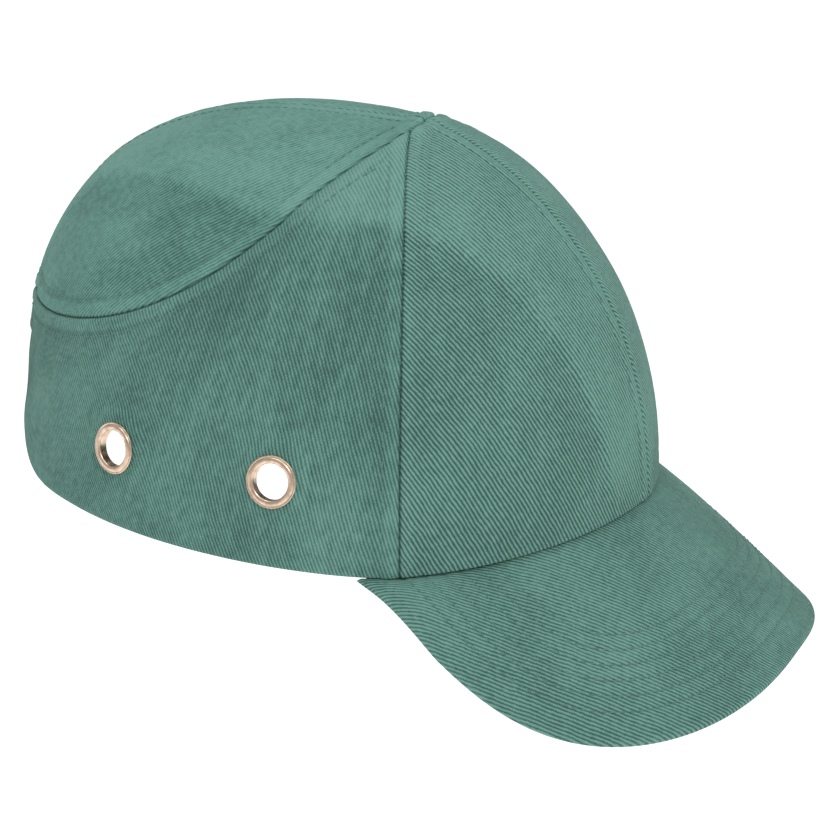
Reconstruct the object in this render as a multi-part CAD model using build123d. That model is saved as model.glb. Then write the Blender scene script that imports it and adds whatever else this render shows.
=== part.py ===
"""Bump cap: a six-panel twill cap with a stiff visor, over a removable padded hard shell.

Frame: +Z up, the visor points along -Y, the wearer's left is +X.  The origin is the centre
of the head opening.  Millimetres and degrees, turned to radians where they are used.

The crown is one smooth surface.  A place on it is a complex number on a flat map: its angle
is the azimuth (0 at the front, 90 degrees on the wearer's right) and its distance from zero
falls from 1 at the base of the wall to 0 at the top.  Depth is measured inwards from the
outside of the fabric.
"""
from build123d import *
import cmath
import os
from functools import lru_cache
from math import asin, comb, cos, pi, radians, sin, sqrt, tan

os.makedirs("parts", exist_ok=True)

# Crown: half width, lengths ahead of and behind the origin, height
HALF_WIDTH = 89.0
FRONT_LENGTH = 100.0
REAR_LENGTH = 121.0
HEIGHT = 131.0
TOP_FORWARD = 13.4
TOP_FORWARD_POWER = 2.06
# Roundness towards the front, the sides and the rear, in plan and in height
PLAN_POWERS = (1.5, 1.9, 3.25)
RISE_POWERS = (2.39, 1.9, 3.48)

# Fabric and its seams
FABRIC = 1.2
SEAM_GAP = 0.3
TAPE_DEPTH = 1.35
TAPE = 0.6
TAPE_HALF_WIDTH = 4.0
TAPE_RIM_GAP = 1.0
FRONT_TAPE_END = 24.0
CROWN_TAPE_END = 0.06
SIDE_TAPE_AZIMUTHS = (106, 176)

# Seams seen from the side: Bezier points as (distance ahead of the origin, height)
FRONT_SEAM_FOOT = 46.4
APEX = (14.5, 129.9)
FRONT_SIDE_SEAM = [(FRONT_SEAM_FOOT, 8.5), (43.1, 58.7), (32.4, 113.9), APEX]
SIDE_CROWN_SEAM = [APEX, (-10, 116), (-21, 83), (-63, 62), (-119, 58.5)]
TOP_SEAM_FORWARD = 15.1

# Lower edge: nearly level, rising over the visor
RIM_HEIGHT = 7.2
RIM_SLOPE = 0.02
RIM_RISE = 9.3
RIM_RISE_START = 42.0
RIM_RISE_POWER = 1.25

# Rear arch
ARCH_HALF_WIDTH = 41.0
ARCH_TOP = 48.0
ARCH_FLARE = 20.0
ARCH_FOOT = 5.6
BINDING_WIDTH = 6.0
BINDING_GAP = 0.2
BINDING_REACH = 38.0
REAR_EDGE = pi - 0.002
CROWN_CORNER = 140.0

# Sweatband
BAND_DEPTH = 2.1
BAND = 1.6
BAND_HEIGHT_SIDE = 15.5
BAND_HEIGHT_FRONT = 22.0
BAND_RIM_GAP = 0.6
BAND_END_HALF_WIDTH = 58.0
BAND_ROWS = 8

# Eyelets: azimuth from the front and height of each pair
EYELETS = {"front": (87.7, 34.4), "rear": (117.1, 31.3)}
EYELET_BORE = 5.75
EYELET_BARREL = 0.4
EYELET_FLANGE = 8.3
EYELET_LENGTH = 3.2
EYELET_PROUD = 0.9
EYELET_FOOT = 0.06
FABRIC_HOLE = 6.4
WASHER_DEPTH = 1.62
WASHER = 0.5
WASHER_INSET = 0.2
WASHER_CLEARANCE = 0.02

# Visor
VISOR_SLOPE = 36.1
VISOR_ARCH = 101.5
VISOR_HALF_WIDTH = 89.4
VISOR_REACH = 67.8
VISOR_BACK = 44.2
VISOR_ROUNDNESS = 2.38
VISOR_ROOT_HEIGHT = 17.7
VISOR_TIP_FORWARD = 34.6
VISOR_TIP_HALF_WIDTH = 83.3
VISOR_TIP_WIDTH = 2.2
VISOR_UNDER_RIM = 0.45
VISOR_ROOT_DEPTH = 0.9
VISOR_CORNER = 0.8
COVER = 0.6
BOARD = 1.9
COVER_GAP = 0.25
BOARD_INSET = 0.025
BOARD_TIP_INSET = 0.06
UNDER_TIP_INSET = 0.06

# Rear strap
STRAP_LOW = 15.0
STRAP_HIGH = 35.0
STRAP = 1.0
STRAP_DEPTH = 2.1
STRAP_SEWN_HALF_WIDTH = 56.0
ANCHOR_END = -37.1
TAB_START = -36.7
TAB_END = 14.0
LOOP_STRAP_END = -22.0
LOOP_STRAP_DEPTH = 4.5
LOOP_STRAP_LEAVES = 44.0
LOOP_STRAP_CLEAR = 24.0
LOOP_PATCH_START = 20.0
PATCH_CLEARANCE = 0.05
PATCH = 0.5
PATCH_MARGIN = 2.0
CLOSURE_GAP = 0.3

# Hard shell and pads
SHELL_DEPTH = 4.2
SHELL = 2.4
SHELL_EDGE_HEIGHT = 53.2
SHELL_EDGE_SLOPE = 4.35
DOME_STEPS = 24
PAD_DEPTH = 7.2
PAD = 6.0
VENT_HALF_WIDTH = 2.5
VENT_LENGTH = 24.0
SIDE_VENT_HEIGHT = 76.0
SIDE_VENT_PLACES = (-25, 0, 25, 50)
TOP_VENT_PLACES = (10, 45)
TOP_VENT_HALF_SPACING = 16.0
TOP_PAD_MAP_SIZE = 0.42
# Pads on the wall: azimuth range and height range
FRONT_PAD = (-34, 34), (50, 92)
REAR_PAD = (154, 206), (66, 100)
SIDE_PAD = (62, 122), (60, 92)

TOLERANCE = 0.05
STEPS = 24
BISECTIONS = 40


# ---- the crown surface -------------------------------------------------------------------

def by_direction(values, azimuth):
    """A value that changes smoothly from front to side to rear."""
    front, side, rear = values
    ahead = cos(azimuth)
    return (front if ahead > 0 else rear) * ahead ** 2 + side * sin(azimuth) ** 2


def crown_at(azimuth, rise):
    """Outside point of the crown at an azimuth and a rise angle above the base."""
    spread = cos(rise) ** (2 / by_direction(PLAN_POWERS, azimuth))
    length = FRONT_LENGTH if cos(azimuth) > 0 else REAR_LENGTH
    forward = length * cos(azimuth) * spread + TOP_FORWARD * sin(rise) ** TOP_FORWARD_POWER
    height = HEIGHT * sin(rise) ** (2 / by_direction(RISE_POWERS, azimuth))
    return Vector(-HALF_WIDTH * sin(azimuth) * spread, -forward, height)


def crown_point(place, depth=0.0):
    """Point at a place on the map, moved inwards by a depth or by a function of the point."""
    distance, azimuth = cmath.polar(place)
    rise = (1 - distance) * pi / 2
    point = crown_at(azimuth, rise)
    along = crown_at(azimuth + 1e-5, rise) - crown_at(azimuth - 1e-5, rise)
    up = crown_at(azimuth, rise + 1e-5) - crown_at(azimuth, rise - 1e-5)
    inwards = along.cross(up).normalized()
    return point + inwards * (depth(point) if callable(depth) else depth)


def place_at_height(azimuth, height):
    """Map place on the crown at an azimuth and height."""
    rise = asin((height / HEIGHT) ** (by_direction(RISE_POWERS, azimuth) / 2))
    return cmath.rect(1 - rise / (pi / 2), azimuth)


def solve(function, low, high):
    """Root of a function that is negative at low and positive at high."""
    for _ in range(BISECTIONS):
        middle = (low + high) / 2
        if function(middle) < 0:
            low = middle
        else:
            high = middle
    return (low + high) / 2


def steps(start, end, power=1.0):
    """Evenly graded values from start to end."""
    return [start + (end - start) * (i / STEPS) ** power for i in range(STEPS + 1)]


# ---- lines on the crown --------------------------------------------------------------------

def bezier(points, t):
    """Point of a Bezier curve given as (forward, height) pairs."""
    order = len(points) - 1
    weights = [comb(order, i) * (1 - t) ** (order - i) * t ** i for i in range(order + 1)]
    return [sum(w * p[axis] for w, p in zip(weights, points)) for axis in (0, 1)]


def front_side_seam(shift=0.0):
    """Seam between a front and a side panel, from the lower edge to the apex."""
    places = []
    for t in steps(0, 1):
        forward, height = bezier(FRONT_SIDE_SEAM, t)

        def ahead(azimuth):
            return forward + shift + crown_point(place_at_height(azimuth, height)).Y

        places.append(place_at_height(solve(ahead, 0.0, radians(150)), height))
    return places


def side_crown_height(forward):
    """Height of the seam under the crown panel at a distance ahead of the origin."""
    if forward > APEX[0]:
        return APEX[1] + forward - APEX[0]
    t = solve(lambda t: forward - bezier(SIDE_CROWN_SEAM, t)[0], 0, 1)
    return bezier(SIDE_CROWN_SEAM, t)[1]


def side_crown_place(azimuth, shift=0.0):
    """Place of the side-crown seam at an azimuth."""
    def above(rise):
        point = crown_at(azimuth, rise)
        return point.Z - shift - side_crown_height(-point.Y)

    return cmath.rect(1 - solve(above, radians(1), radians(89.9)) / (pi / 2), azimuth)


def centre_place(ahead, half_gap=SEAM_GAP / 2):
    """Place beside the mid-plane, on the wearer's right, at a map distance ahead."""
    def across(side):
        return -crown_point(complex(ahead, side)).X - half_gap

    return complex(ahead, solve(across, 0.0, 0.3))


def centre_ahead(forward):
    """Map distance ahead of the top at which the mid-plane reaches a forward distance."""
    return solve(lambda ahead: -crown_point(complex(ahead, 1e-6)).Y - forward, 1e-4, 0.9)


def rim_height(forward):
    """Height of the lower edge at a distance ahead of the origin."""
    over_visor = max(0.0, (forward - RIM_RISE_START) / (FRONT_LENGTH - RIM_RISE_START))
    return RIM_HEIGHT + RIM_SLOPE * forward + RIM_RISE * over_visor ** RIM_RISE_POWER


def rim_place(azimuth, above=0.0):
    """Place on the lower edge, or a height above it, at an azimuth."""
    height = RIM_HEIGHT
    for _ in range(6):
        height = rim_height(-crown_point(place_at_height(azimuth, height)).Y)
    return place_at_height(azimuth, height + above)


# ---- solids that follow a surface ----------------------------------------------------------

def coons(bottom, top, left, right):
    """Grid of places inside four boundary lines: left and right run from bottom to top."""
    rows = []
    for j, (start, end) in enumerate(zip(left, right)):
        t = j / (len(left) - 1)
        row = []
        for i, (low, high) in enumerate(zip(bottom, top)):
            s = i / (len(bottom) - 1)
            corners = (1 - s) * ((1 - t) * bottom[0] + t * top[0])
            corners += s * ((1 - t) * bottom[-1] + t * top[-1])
            row.append((1 - t) * low + t * high + (1 - s) * start + s * end - corners)
        rows.append(row)
    return rows


def ruled(first, second):
    """Grid of places between two lines."""
    return [[a + (b - a) * j / STEPS for a, b in zip(first, second)] for j in range(STEPS + 1)]


def slab(outer_points, inner_points):
    """Solid between two matching grids of points."""
    outer = Face.make_surface_from_array_of_points(outer_points, tol=TOLERANCE)
    inner = Face.make_surface_from_array_of_points(inner_points, tol=TOLERANCE)
    sides = [Face.make_surface_from_curves(a, b) for a, b in zip(outer.edges(), inner.edges())]
    return Solid(Shell([outer, inner] + sides))


def layer(grid, depth, thickness):
    """Solid layer of the crown over a grid of places, from a depth inwards."""
    if callable(depth):
        outer_depth, inner_depth = depth, lambda point: depth(point) + thickness
    else:
        outer_depth, inner_depth = depth, depth + thickness
    outer = [[crown_point(place, outer_depth) for place in row] for row in grid]
    inner = [[crown_point(place, inner_depth) for place in row] for row in grid]
    return slab(outer, inner)


def mirrored(places):
    """Places on the wearer's left that match places on the right."""
    return [place.conjugate() for place in places]


def across_width(half_width, height):
    """Azimuth from the rear at which the wall at a height has a half width."""
    def wider(azimuth):
        return -crown_point(place_at_height(azimuth, height)).X - half_width

    return solve(wider, pi - 1e-4, pi / 2)


# ---- output --------------------------------------------------------------------------------

def save(name, shape):
    """Write one node."""
    export_step(shape, f"parts/{name}.step")


def save_pair(name, shape):
    """Write a node on the wearer's right and its mirror image on the left."""
    save(f"{name}_right", shape)
    save(f"{name}_left", shape.mirror(Plane.YZ))


# ---- fabric panels -------------------------------------------------------------------------

def front_panel():
    """Right front panel, between the centre seam and the front-side seam."""
    side = front_side_seam(SEAM_GAP / 2)
    top_ahead = centre_ahead(TOP_SEAM_FORWARD + SEAM_GAP / 2)
    centre = [centre_place(ahead) for ahead in steps(abs(rim_place(0.0)), top_ahead)]
    start = cmath.phase(centre[0])
    bottom = [rim_place(azimuth) for azimuth in steps(start, cmath.phase(side[0]))]
    centre[0], side[0] = bottom[0], bottom[-1]
    top = steps(centre[-1], side[-1])
    return layer(coons(bottom, top, centre, side), 0.0, FABRIC)


def side_panel():
    """Right side panel, from the front-side seam round to the rear centre, before cutting."""
    front = front_side_seam(-SEAM_GAP / 2)
    start = cmath.phase(front[-1])
    top = [side_crown_place(azimuth, -SEAM_GAP / 2) for azimuth in steps(start, REAR_EDGE, 1.5)]
    bottom = [rim_place(azimuth) for azimuth in steps(cmath.phase(front[0]), REAR_EDGE)]
    front[0], top[0] = bottom[0], front[-1]
    rear = steps(bottom[-1], top[-1])
    return layer(coons(bottom, top, front, rear), 0.0, FABRIC)


def crown_panel():
    """Right crown panel, between the centre seam, the top seam and the side-crown seam."""
    ahead = centre_ahead(TOP_SEAM_FORWARD - SEAM_GAP / 2)
    rear = -abs(side_crown_place(REAR_EDGE, SEAM_GAP / 2))
    centre = [centre_place(value) for value in steps(ahead, rear)]
    corner = radians(CROWN_CORNER)
    start = cmath.phase(front_side_seam()[-1])
    side = [side_crown_place(azimuth, SEAM_GAP / 2) for azimuth in steps(start, corner, 1.5)]
    back = [side_crown_place(a, SEAM_GAP / 2) for a in steps(cmath.phase(centre[-1]), corner)]
    back[0] = centre[-1]
    front = steps(centre[0], side[0])
    return layer(coons(front, back, centre, side), 0.0, FABRIC)


def arch_prism(growth):
    """Prism through the rear wall with the arch's outline, grown by a distance."""
    half_width = ARCH_HALF_WIDTH + growth
    spring = ARCH_FOOT + ARCH_FLARE
    flare = ARCH_FLARE - growth
    outer = ARCH_HALF_WIDTH + ARCH_FLARE
    below = -20.0
    low = spring - flare
    edges = [
        Edge.make_line((outer, 0, below), (-outer, 0, below)),
        Edge.make_line((-outer, 0, below), (-outer, 0, low)),
        Edge.make_three_point_arc(
            (-outer, 0, low),
            (-outer + flare * sin(pi / 4), 0, spring - flare * cos(pi / 4)),
            (-half_width, 0, spring),
        ),
        Edge.make_spline(
            [(-half_width * cos(a), 0, spring + (ARCH_TOP + growth - spring) * sin(a))
             for a in steps(0, pi)],
            tangents=[(0, 0, 1), (0, 0, -1)],
        ),
        Edge.make_three_point_arc(
            (half_width, 0, spring),
            (outer - flare * sin(pi / 4), 0, spring - flare * cos(pi / 4)),
            (outer, 0, low),
        ),
        Edge.make_line((outer, 0, low), (outer, 0, below)),
    ]
    outline = Face(Wire(edges)).moved(Location((0, 70, 0)))
    return Solid.extrude(outline, Vector(0, 70, 0))


def eyelet_plane(azimuth_degrees, height):
    """Plane of an eyelet: origin on the outside of the fabric, Z outwards."""
    place = place_at_height(radians(azimuth_degrees), height)
    outside = crown_point(place)
    return Plane(origin=outside, z_dir=outside - crown_point(place, 1.0), x_dir=(0, 0, 1))


def fabric_panels():
    """All six panels, with the eyelet holes and the rear arch cut."""
    save_pair("front_panel", front_panel())
    side = side_panel() - arch_prism(0.0)
    for azimuth_degrees, height in EYELETS.values():
        plane = eyelet_plane(azimuth_degrees, height)
        side = side - plane * Cylinder(FABRIC_HOLE, 12)
    save_pair("side_panel", side.solids()[0])
    save_pair("crown_panel", crown_panel())


# ---- tapes and sweatband inside ------------------------------------------------------------

def seam_tapes():
    """Tapes sewn over the seams on the inside, stopped short of where seams cross."""
    half = TAPE_HALF_WIDTH
    front_ahead = steps(abs(rim_place(0.0, TAPE_RIM_GAP)), centre_ahead(FRONT_TAPE_END))
    right = [centre_place(ahead, half) for ahead in front_ahead]
    save("front_centre_tape", layer(ruled(right, mirrored(right)), TAPE_DEPTH, TAPE))
    rear = -abs(side_crown_place(REAR_EDGE)) + CROWN_TAPE_END
    right = [centre_place(ahead, half) for ahead in steps(-CROWN_TAPE_END, rear)]
    save("crown_centre_tape", layer(ruled(right, mirrored(right)), TAPE_DEPTH, TAPE))
    ahead_edge = front_side_seam(half)[1:-3]
    behind_edge = front_side_seam(-half)[1:-3]
    save_pair("front_side_tape", layer(ruled(ahead_edge, behind_edge), TAPE_DEPTH, TAPE))
    azimuths = steps(*(radians(azimuth) for azimuth in SIDE_TAPE_AZIMUTHS))
    upper = [side_crown_place(azimuth, half) for azimuth in azimuths]
    lower = [side_crown_place(azimuth, -half) for azimuth in azimuths]
    save_pair("crown_side_tape", layer(ruled(upper, lower), TAPE_DEPTH, TAPE))


def arch_binding():
    """Tape round the inside of the arch's edge."""
    azimuths = steps(pi - radians(BINDING_REACH), pi + radians(BINDING_REACH))
    low = [rim_place(azimuth, TAPE_RIM_GAP) for azimuth in azimuths]
    high = [place_at_height(azimuth, ARCH_TOP + 1.5 * BINDING_WIDTH) for azimuth in azimuths]
    rear = layer(ruled(low, high), TAPE_DEPTH, TAPE)
    binding = (rear - arch_prism(BINDING_GAP)).intersect(arch_prism(BINDING_WIDTH))
    save("arch_binding", binding.solids()[0])


def band_height(azimuth):
    """Height of the sweatband above the lower edge."""
    towards_front = max(0.0, cos(azimuth)) ** 2
    return BAND_HEIGHT_SIDE + (BAND_HEIGHT_FRONT - BAND_HEIGHT_SIDE) * towards_front


def sweatband():
    """Band round the head opening, from one side of the arch to the other."""
    end = across_width(BAND_END_HALF_WIDTH, BAND_HEIGHT_SIDE)
    azimuths = [end * (2 * i / (3 * STEPS) - 1) for i in range(3 * STEPS + 1)]
    low = [rim_place(azimuth, BAND_RIM_GAP) for azimuth in azimuths]
    high = [rim_place(azimuth, band_height(azimuth)) for azimuth in azimuths]
    rises = [j / BAND_ROWS for j in range(BAND_ROWS + 1)]
    grid = [[a + (b - a) * rise for a, b in zip(low, high)] for rise in rises]
    save("sweatband", layer(grid, BAND_DEPTH, BAND))


# ---- eyelets -------------------------------------------------------------------------------

def eyelet_shape():
    """Rolled flange and barrel, turned about Z, with its flange's underside at zero."""
    wall = EYELET_BORE + EYELET_BARREL
    crest = (wall + EYELET_FLANGE) / 2
    foot = EYELET_FOOT
    tail = foot + EYELET_PROUD - EYELET_LENGTH
    section = [
        Edge.make_line((EYELET_BORE, 0, tail), (EYELET_BORE, 0, foot + EYELET_PROUD)),
        Edge.make_three_point_arc(
            (EYELET_BORE, 0, foot + EYELET_PROUD),
            (crest, 0, foot + EYELET_PROUD * 1.25),
            (EYELET_FLANGE, 0, foot),
        ),
        Edge.make_line((EYELET_FLANGE, 0, foot), (wall, 0, foot)),
        Edge.make_line((wall, 0, foot), (wall, 0, tail)),
        Edge.make_line((wall, 0, tail), (EYELET_BORE, 0, tail)),
    ]
    return Solid.revolve(Face(Wire(section)), 360, Axis.Z)


def washer_shape():
    """Flat ring clenched on the barrel behind the fabric."""
    hole = EYELET_BORE + EYELET_BARREL + WASHER_CLEARANCE
    ring = Cylinder(EYELET_FLANGE - WASHER_INSET, WASHER) - Cylinder(hole, 2 * WASHER)
    return (Pos(0, 0, -WASHER_DEPTH - WASHER / 2) * ring).solid()


def eyelets():
    """Two vent eyelets with washers on each side."""
    for position, (azimuth_degrees, height) in EYELETS.items():
        plane = eyelet_plane(azimuth_degrees, height)
        save_pair(f"eyelet_{position}", eyelet_shape().moved(plane.location))
        save_pair(f"washer_{position}", washer_shape().moved(plane.location))


# ---- visor ---------------------------------------------------------------------------------

def visor_sheet(forward, side):
    """Height of the arched visor sheet."""
    fall = (forward - FRONT_LENGTH) * tan(radians(VISOR_SLOPE))
    return VISOR_ROOT_HEIGHT - fall - (VISOR_ARCH - sqrt(VISOR_ARCH ** 2 - side ** 2))


@lru_cache(maxsize=None)
def visor_root(t):
    """Visor's inner edge under the crown's lower edge, t from 0 at the centre to 1."""
    tip = solve(lambda a: VISOR_TIP_FORWARD + VISOR_TIP_WIDTH + crown_point(rim_place(a)).Y,
                radians(20), radians(100))
    point = crown_point(rim_place(tip * t), VISOR_ROOT_DEPTH)
    return -point.Y, -point.X, point.Z - VISOR_UNDER_RIM


@lru_cache(maxsize=None)
def visor_edge(t):
    """Visor's outer edge: (forward, side) and how far it drops below the arched sheet."""
    if t < VISOR_CORNER:
        turn = t / VISOR_CORNER * pi / 2
        radius = (cos(turn) ** VISOR_ROUNDNESS + sin(turn) ** VISOR_ROUNDNESS)
        radius = radius ** (-1 / VISOR_ROUNDNESS)
        along = (VISOR_REACH + VISOR_BACK) * radius * cos(turn) - VISOR_BACK
        forward = FRONT_LENGTH + along * cos(radians(VISOR_SLOPE))
        return forward, VISOR_HALF_WIDTH * radius * sin(turn), 0.0
    back = (t - VISOR_CORNER) / (1 - VISOR_CORNER)
    corner = FRONT_LENGTH - VISOR_BACK * cos(radians(VISOR_SLOPE))
    forward = corner + (VISOR_TIP_FORWARD - corner) * back
    side = VISOR_HALF_WIDTH + (VISOR_TIP_HALF_WIDTH - VISOR_HALF_WIDTH) * back ** 1.5
    tip_drop = visor_root(1)[2] - visor_sheet(VISOR_TIP_FORWARD, VISOR_TIP_HALF_WIDTH)
    return forward, side, tip_drop * back ** 2


def visor_point(t, s):
    """Top of the visor, t from -1 to 1 across and s from 0 at the root to 1 at the edge."""
    root_forward, root_side, root_height = visor_root(abs(round(t, 6)))
    edge_forward, edge_side, edge_drop = visor_edge(abs(round(t, 6)))
    forward = root_forward + (edge_forward - root_forward) * s
    side = root_side + (edge_side - root_side) * s
    near = max(0.0, 1 - s) ** 2
    root_drop = root_height - visor_sheet(root_forward, root_side)
    height = visor_sheet(forward, side) + root_drop * near + edge_drop * (1 - near)
    return Vector(-side if t > 0 else side, -forward, height)


def visor_layer(depth, thickness, tip_inset, edge_inset=0.0):
    """One layer of the visor, drawn in from its tips and edges."""
    reach = 1 - tip_inset
    across = [reach * (i / STEPS - 1) for i in range(2 * STEPS + 1)]
    outwards = steps(edge_inset, 1 - edge_inset)
    outer, inner = [], []
    step = 1e-3
    for s in outwards:
        outer.append([])
        inner.append([])
        for t in across:
            point = visor_point(t, s)
            low_t, high_t = max(-1, t - step), min(1, t + step)
            low_s, high_s = max(0, s - step), min(1, s + step)
            wide = visor_point(high_t, s) - visor_point(low_t, s)
            out = visor_point(t, high_s) - visor_point(t, low_s)
            down = out.cross(wide).normalized()
            down = -down if down.Z > 0 else down
            outer[-1].append(point + down * depth)
            inner[-1].append(point + down * (depth + thickness))
    return slab(outer, inner)


def visor():
    """Stiff board between two fabric covers."""
    board_depth = COVER + COVER_GAP
    under_depth = board_depth + BOARD + COVER_GAP
    save("visor_top_cover", visor_layer(0.0, COVER, 0.0))
    save("visor_board", visor_layer(board_depth, BOARD, BOARD_TIP_INSET, BOARD_INSET))
    save("visor_under_cover", visor_layer(under_depth, COVER, UNDER_TIP_INSET))


# ---- rear strap ----------------------------------------------------------------------------

def strap_piece(start, end, depth, thickness, margin=0.0):
    """Band across the arch between two sideways positions."""
    middle = (STRAP_LOW + STRAP_HIGH) / 2

    def azimuth_of(across):
        from_rear = across_width(abs(across), middle) if across else pi
        return from_rear if across < 0 else 2 * pi - from_rear

    azimuths = steps(azimuth_of(start), azimuth_of(end))
    low = [place_at_height(azimuth, STRAP_LOW + margin) for azimuth in azimuths]
    high = [place_at_height(azimuth, STRAP_HIGH - margin) for azimuth in azimuths]
    return layer(ruled(low, high), depth, thickness)


def loop_strap_depth(point):
    """The strap leaves the fabric and passes under the tab."""
    t = (LOOP_STRAP_LEAVES - point.X) / (LOOP_STRAP_LEAVES - LOOP_STRAP_CLEAR)
    t = min(1.0, max(0.0, t))
    return STRAP_DEPTH + (LOOP_STRAP_DEPTH - STRAP_DEPTH) * t * t * (3 - 2 * t)


def rear_strap():
    """Size strap: a tab with a hook patch closes on a strap with a loop patch."""
    hook_depth = STRAP_DEPTH + STRAP + PATCH_CLEARANCE
    loop_depth = hook_depth + PATCH + CLOSURE_GAP
    sewn = STRAP_SEWN_HALF_WIDTH
    save("strap_anchor", strap_piece(-sewn, ANCHOR_END, STRAP_DEPTH, STRAP))
    save("strap_tab", strap_piece(TAB_START, TAB_END, STRAP_DEPTH, STRAP))
    hook_start = LOOP_STRAP_END + PATCH_MARGIN
    hook_end = TAB_END - PATCH_MARGIN
    save("hook_patch", strap_piece(hook_start, hook_end, hook_depth, PATCH, PATCH_MARGIN))
    save("loop_strap", strap_piece(sewn, LOOP_STRAP_END, loop_strap_depth, STRAP))
    thickness = LOOP_STRAP_DEPTH - loop_depth - PATCH_CLEARANCE
    patch = strap_piece(LOOP_PATCH_START, hook_start, loop_depth, thickness, PATCH_MARGIN)
    save("loop_patch", patch)


# ---- hard shell and pads -------------------------------------------------------------------

def dome_grid(edge_distance):
    """Square grid bent to fill the map inside a closed edge, given by azimuth."""
    grid = []
    for j in range(DOME_STEPS + 1):
        v = 2 * j / DOME_STEPS - 1
        row = []
        for i in range(DOME_STEPS + 1):
            u = 2 * i / DOME_STEPS - 1
            place = complex(u * sqrt(1 - v * v / 2), v * sqrt(1 - u * u / 2))
            if abs(place) < 1e-3:
                place = complex(1e-3, 0)
            row.append(place * edge_distance(cmath.phase(place)))
        grid.append(row)
    return grid


def shell_edge(azimuth):
    """Map distance of the shell's lower edge, which lies in one sloping plane."""
    height = SHELL_EDGE_HEIGHT
    for _ in range(6):
        back = crown_point(place_at_height(azimuth, height), SHELL_DEPTH).Y
        height = SHELL_EDGE_HEIGHT + tan(radians(SHELL_EDGE_SLOPE)) * back
    return abs(place_at_height(azimuth, height))


def vent_cutters():
    """Slots through the shell: a row across each side, and two pairs over the top."""
    end_gap = VENT_LENGTH / 2 - VENT_HALF_WIDTH
    through = 60
    slot = Box(2 * VENT_HALF_WIDTH, 2 * end_gap, through)
    slot += Pos(0, end_gap, 0) * Cylinder(VENT_HALF_WIDTH, through)
    slot += Pos(0, -end_gap, 0) * Cylinder(VENT_HALF_WIDTH, through)
    cutters = []
    for side in (-1, 1):
        for y in SIDE_VENT_PLACES:
            sideways = Rot(0, 90, 0) * Rot(0, 0, 90)
            cutters.append(Pos(side * HALF_WIDTH, y, SIDE_VENT_HEIGHT) * sideways * slot)
        for y in TOP_VENT_PLACES:
            cutters.append(Pos(side * TOP_VENT_HALF_SPACING, y, HEIGHT) * slot)
    return cutters


def hard_shell():
    """Moulded shell with vents."""
    shell = layer(dome_grid(shell_edge), SHELL_DEPTH, SHELL)
    for cutter in vent_cutters():
        shell = shell - cutter
    save("impact_shell", shell.solids()[0])


def pad(azimuths, heights):
    """Foam pad over a range of azimuths and heights."""
    azimuths = steps(radians(azimuths[0]), radians(azimuths[1]))
    low = [place_at_height(azimuth, heights[0]) for azimuth in azimuths]
    high = [place_at_height(azimuth, heights[1]) for azimuth in azimuths]
    return layer(ruled(low, high), PAD_DEPTH, PAD)


def foam_pads():
    """Foam pads inside the shell."""
    save("front_pad", pad(*FRONT_PAD))
    save("rear_pad", pad(*REAR_PAD))
    save_pair("side_pad", pad(*SIDE_PAD))
    save("top_pad", layer(dome_grid(lambda azimuth: TOP_PAD_MAP_SIZE), PAD_DEPTH, PAD))


fabric_panels()
seam_tapes()
arch_binding()
sweatband()
eyelets()
visor()
rear_strap()
hard_shell()
foam_pads()
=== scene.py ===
import math
import bpy
import numpy as np
from mathutils import Matrix, Vector, noise

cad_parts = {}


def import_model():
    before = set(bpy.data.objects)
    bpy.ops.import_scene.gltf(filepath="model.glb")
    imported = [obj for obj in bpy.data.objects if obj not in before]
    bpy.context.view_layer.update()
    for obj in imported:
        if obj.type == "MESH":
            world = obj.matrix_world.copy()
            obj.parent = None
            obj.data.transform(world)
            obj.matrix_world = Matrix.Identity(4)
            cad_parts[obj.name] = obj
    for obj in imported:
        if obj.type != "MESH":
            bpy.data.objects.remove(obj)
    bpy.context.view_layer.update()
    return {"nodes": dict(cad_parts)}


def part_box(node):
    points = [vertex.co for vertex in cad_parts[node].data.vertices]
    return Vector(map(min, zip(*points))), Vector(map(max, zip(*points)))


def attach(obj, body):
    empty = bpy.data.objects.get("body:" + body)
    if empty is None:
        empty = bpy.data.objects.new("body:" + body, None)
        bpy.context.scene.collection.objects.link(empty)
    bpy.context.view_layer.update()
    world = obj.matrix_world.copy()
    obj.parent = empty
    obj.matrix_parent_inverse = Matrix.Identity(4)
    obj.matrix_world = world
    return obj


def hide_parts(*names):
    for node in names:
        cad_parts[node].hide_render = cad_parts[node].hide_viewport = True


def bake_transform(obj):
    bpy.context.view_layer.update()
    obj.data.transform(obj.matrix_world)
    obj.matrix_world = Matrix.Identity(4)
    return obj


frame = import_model()

# The looks of a six-panel twill bump cap, its visor, its fittings and the padded shell inside.
#
# Shapes are worked out in millimetres on the crown surface that the CAD panels follow, and
# become metres when a mesh is made.  A place on the crown is a complex number on a flat map:
# its angle is the azimuth (0 at the front, positive to the wearer's right) and its distance
# from zero falls from 1 at the base to 0 at the top.  Heights are measured outwards from the
# crown surface, so the inside of the fabric is at a negative height.

MM = 0.001

# Crown, as in the CAD
HALF_WIDTH = 89.0
FRONT_LENGTH = 100.0
REAR_LENGTH = 121.0
HEIGHT = 131.0
TOP_FORWARD = 13.4
TOP_FORWARD_POWER = 2.06
PLAN_POWERS = (1.5, 1.9, 3.25)
RISE_POWERS = (2.39, 1.9, 3.48)
FABRIC = 1.2

# Seams seen from the side: Bezier points as (distance ahead of the origin, height)
APEX = (14.5, 129.9)
FRONT_SIDE_SEAM = [(46.4, 8.5), (43.1, 58.7), (32.4, 113.9), APEX]
SIDE_CROWN_SEAM = [APEX, (-10, 116), (-21, 83), (-63, 62), (-119, 58.5)]
TOP_SEAM_FORWARD = 15.1

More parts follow.
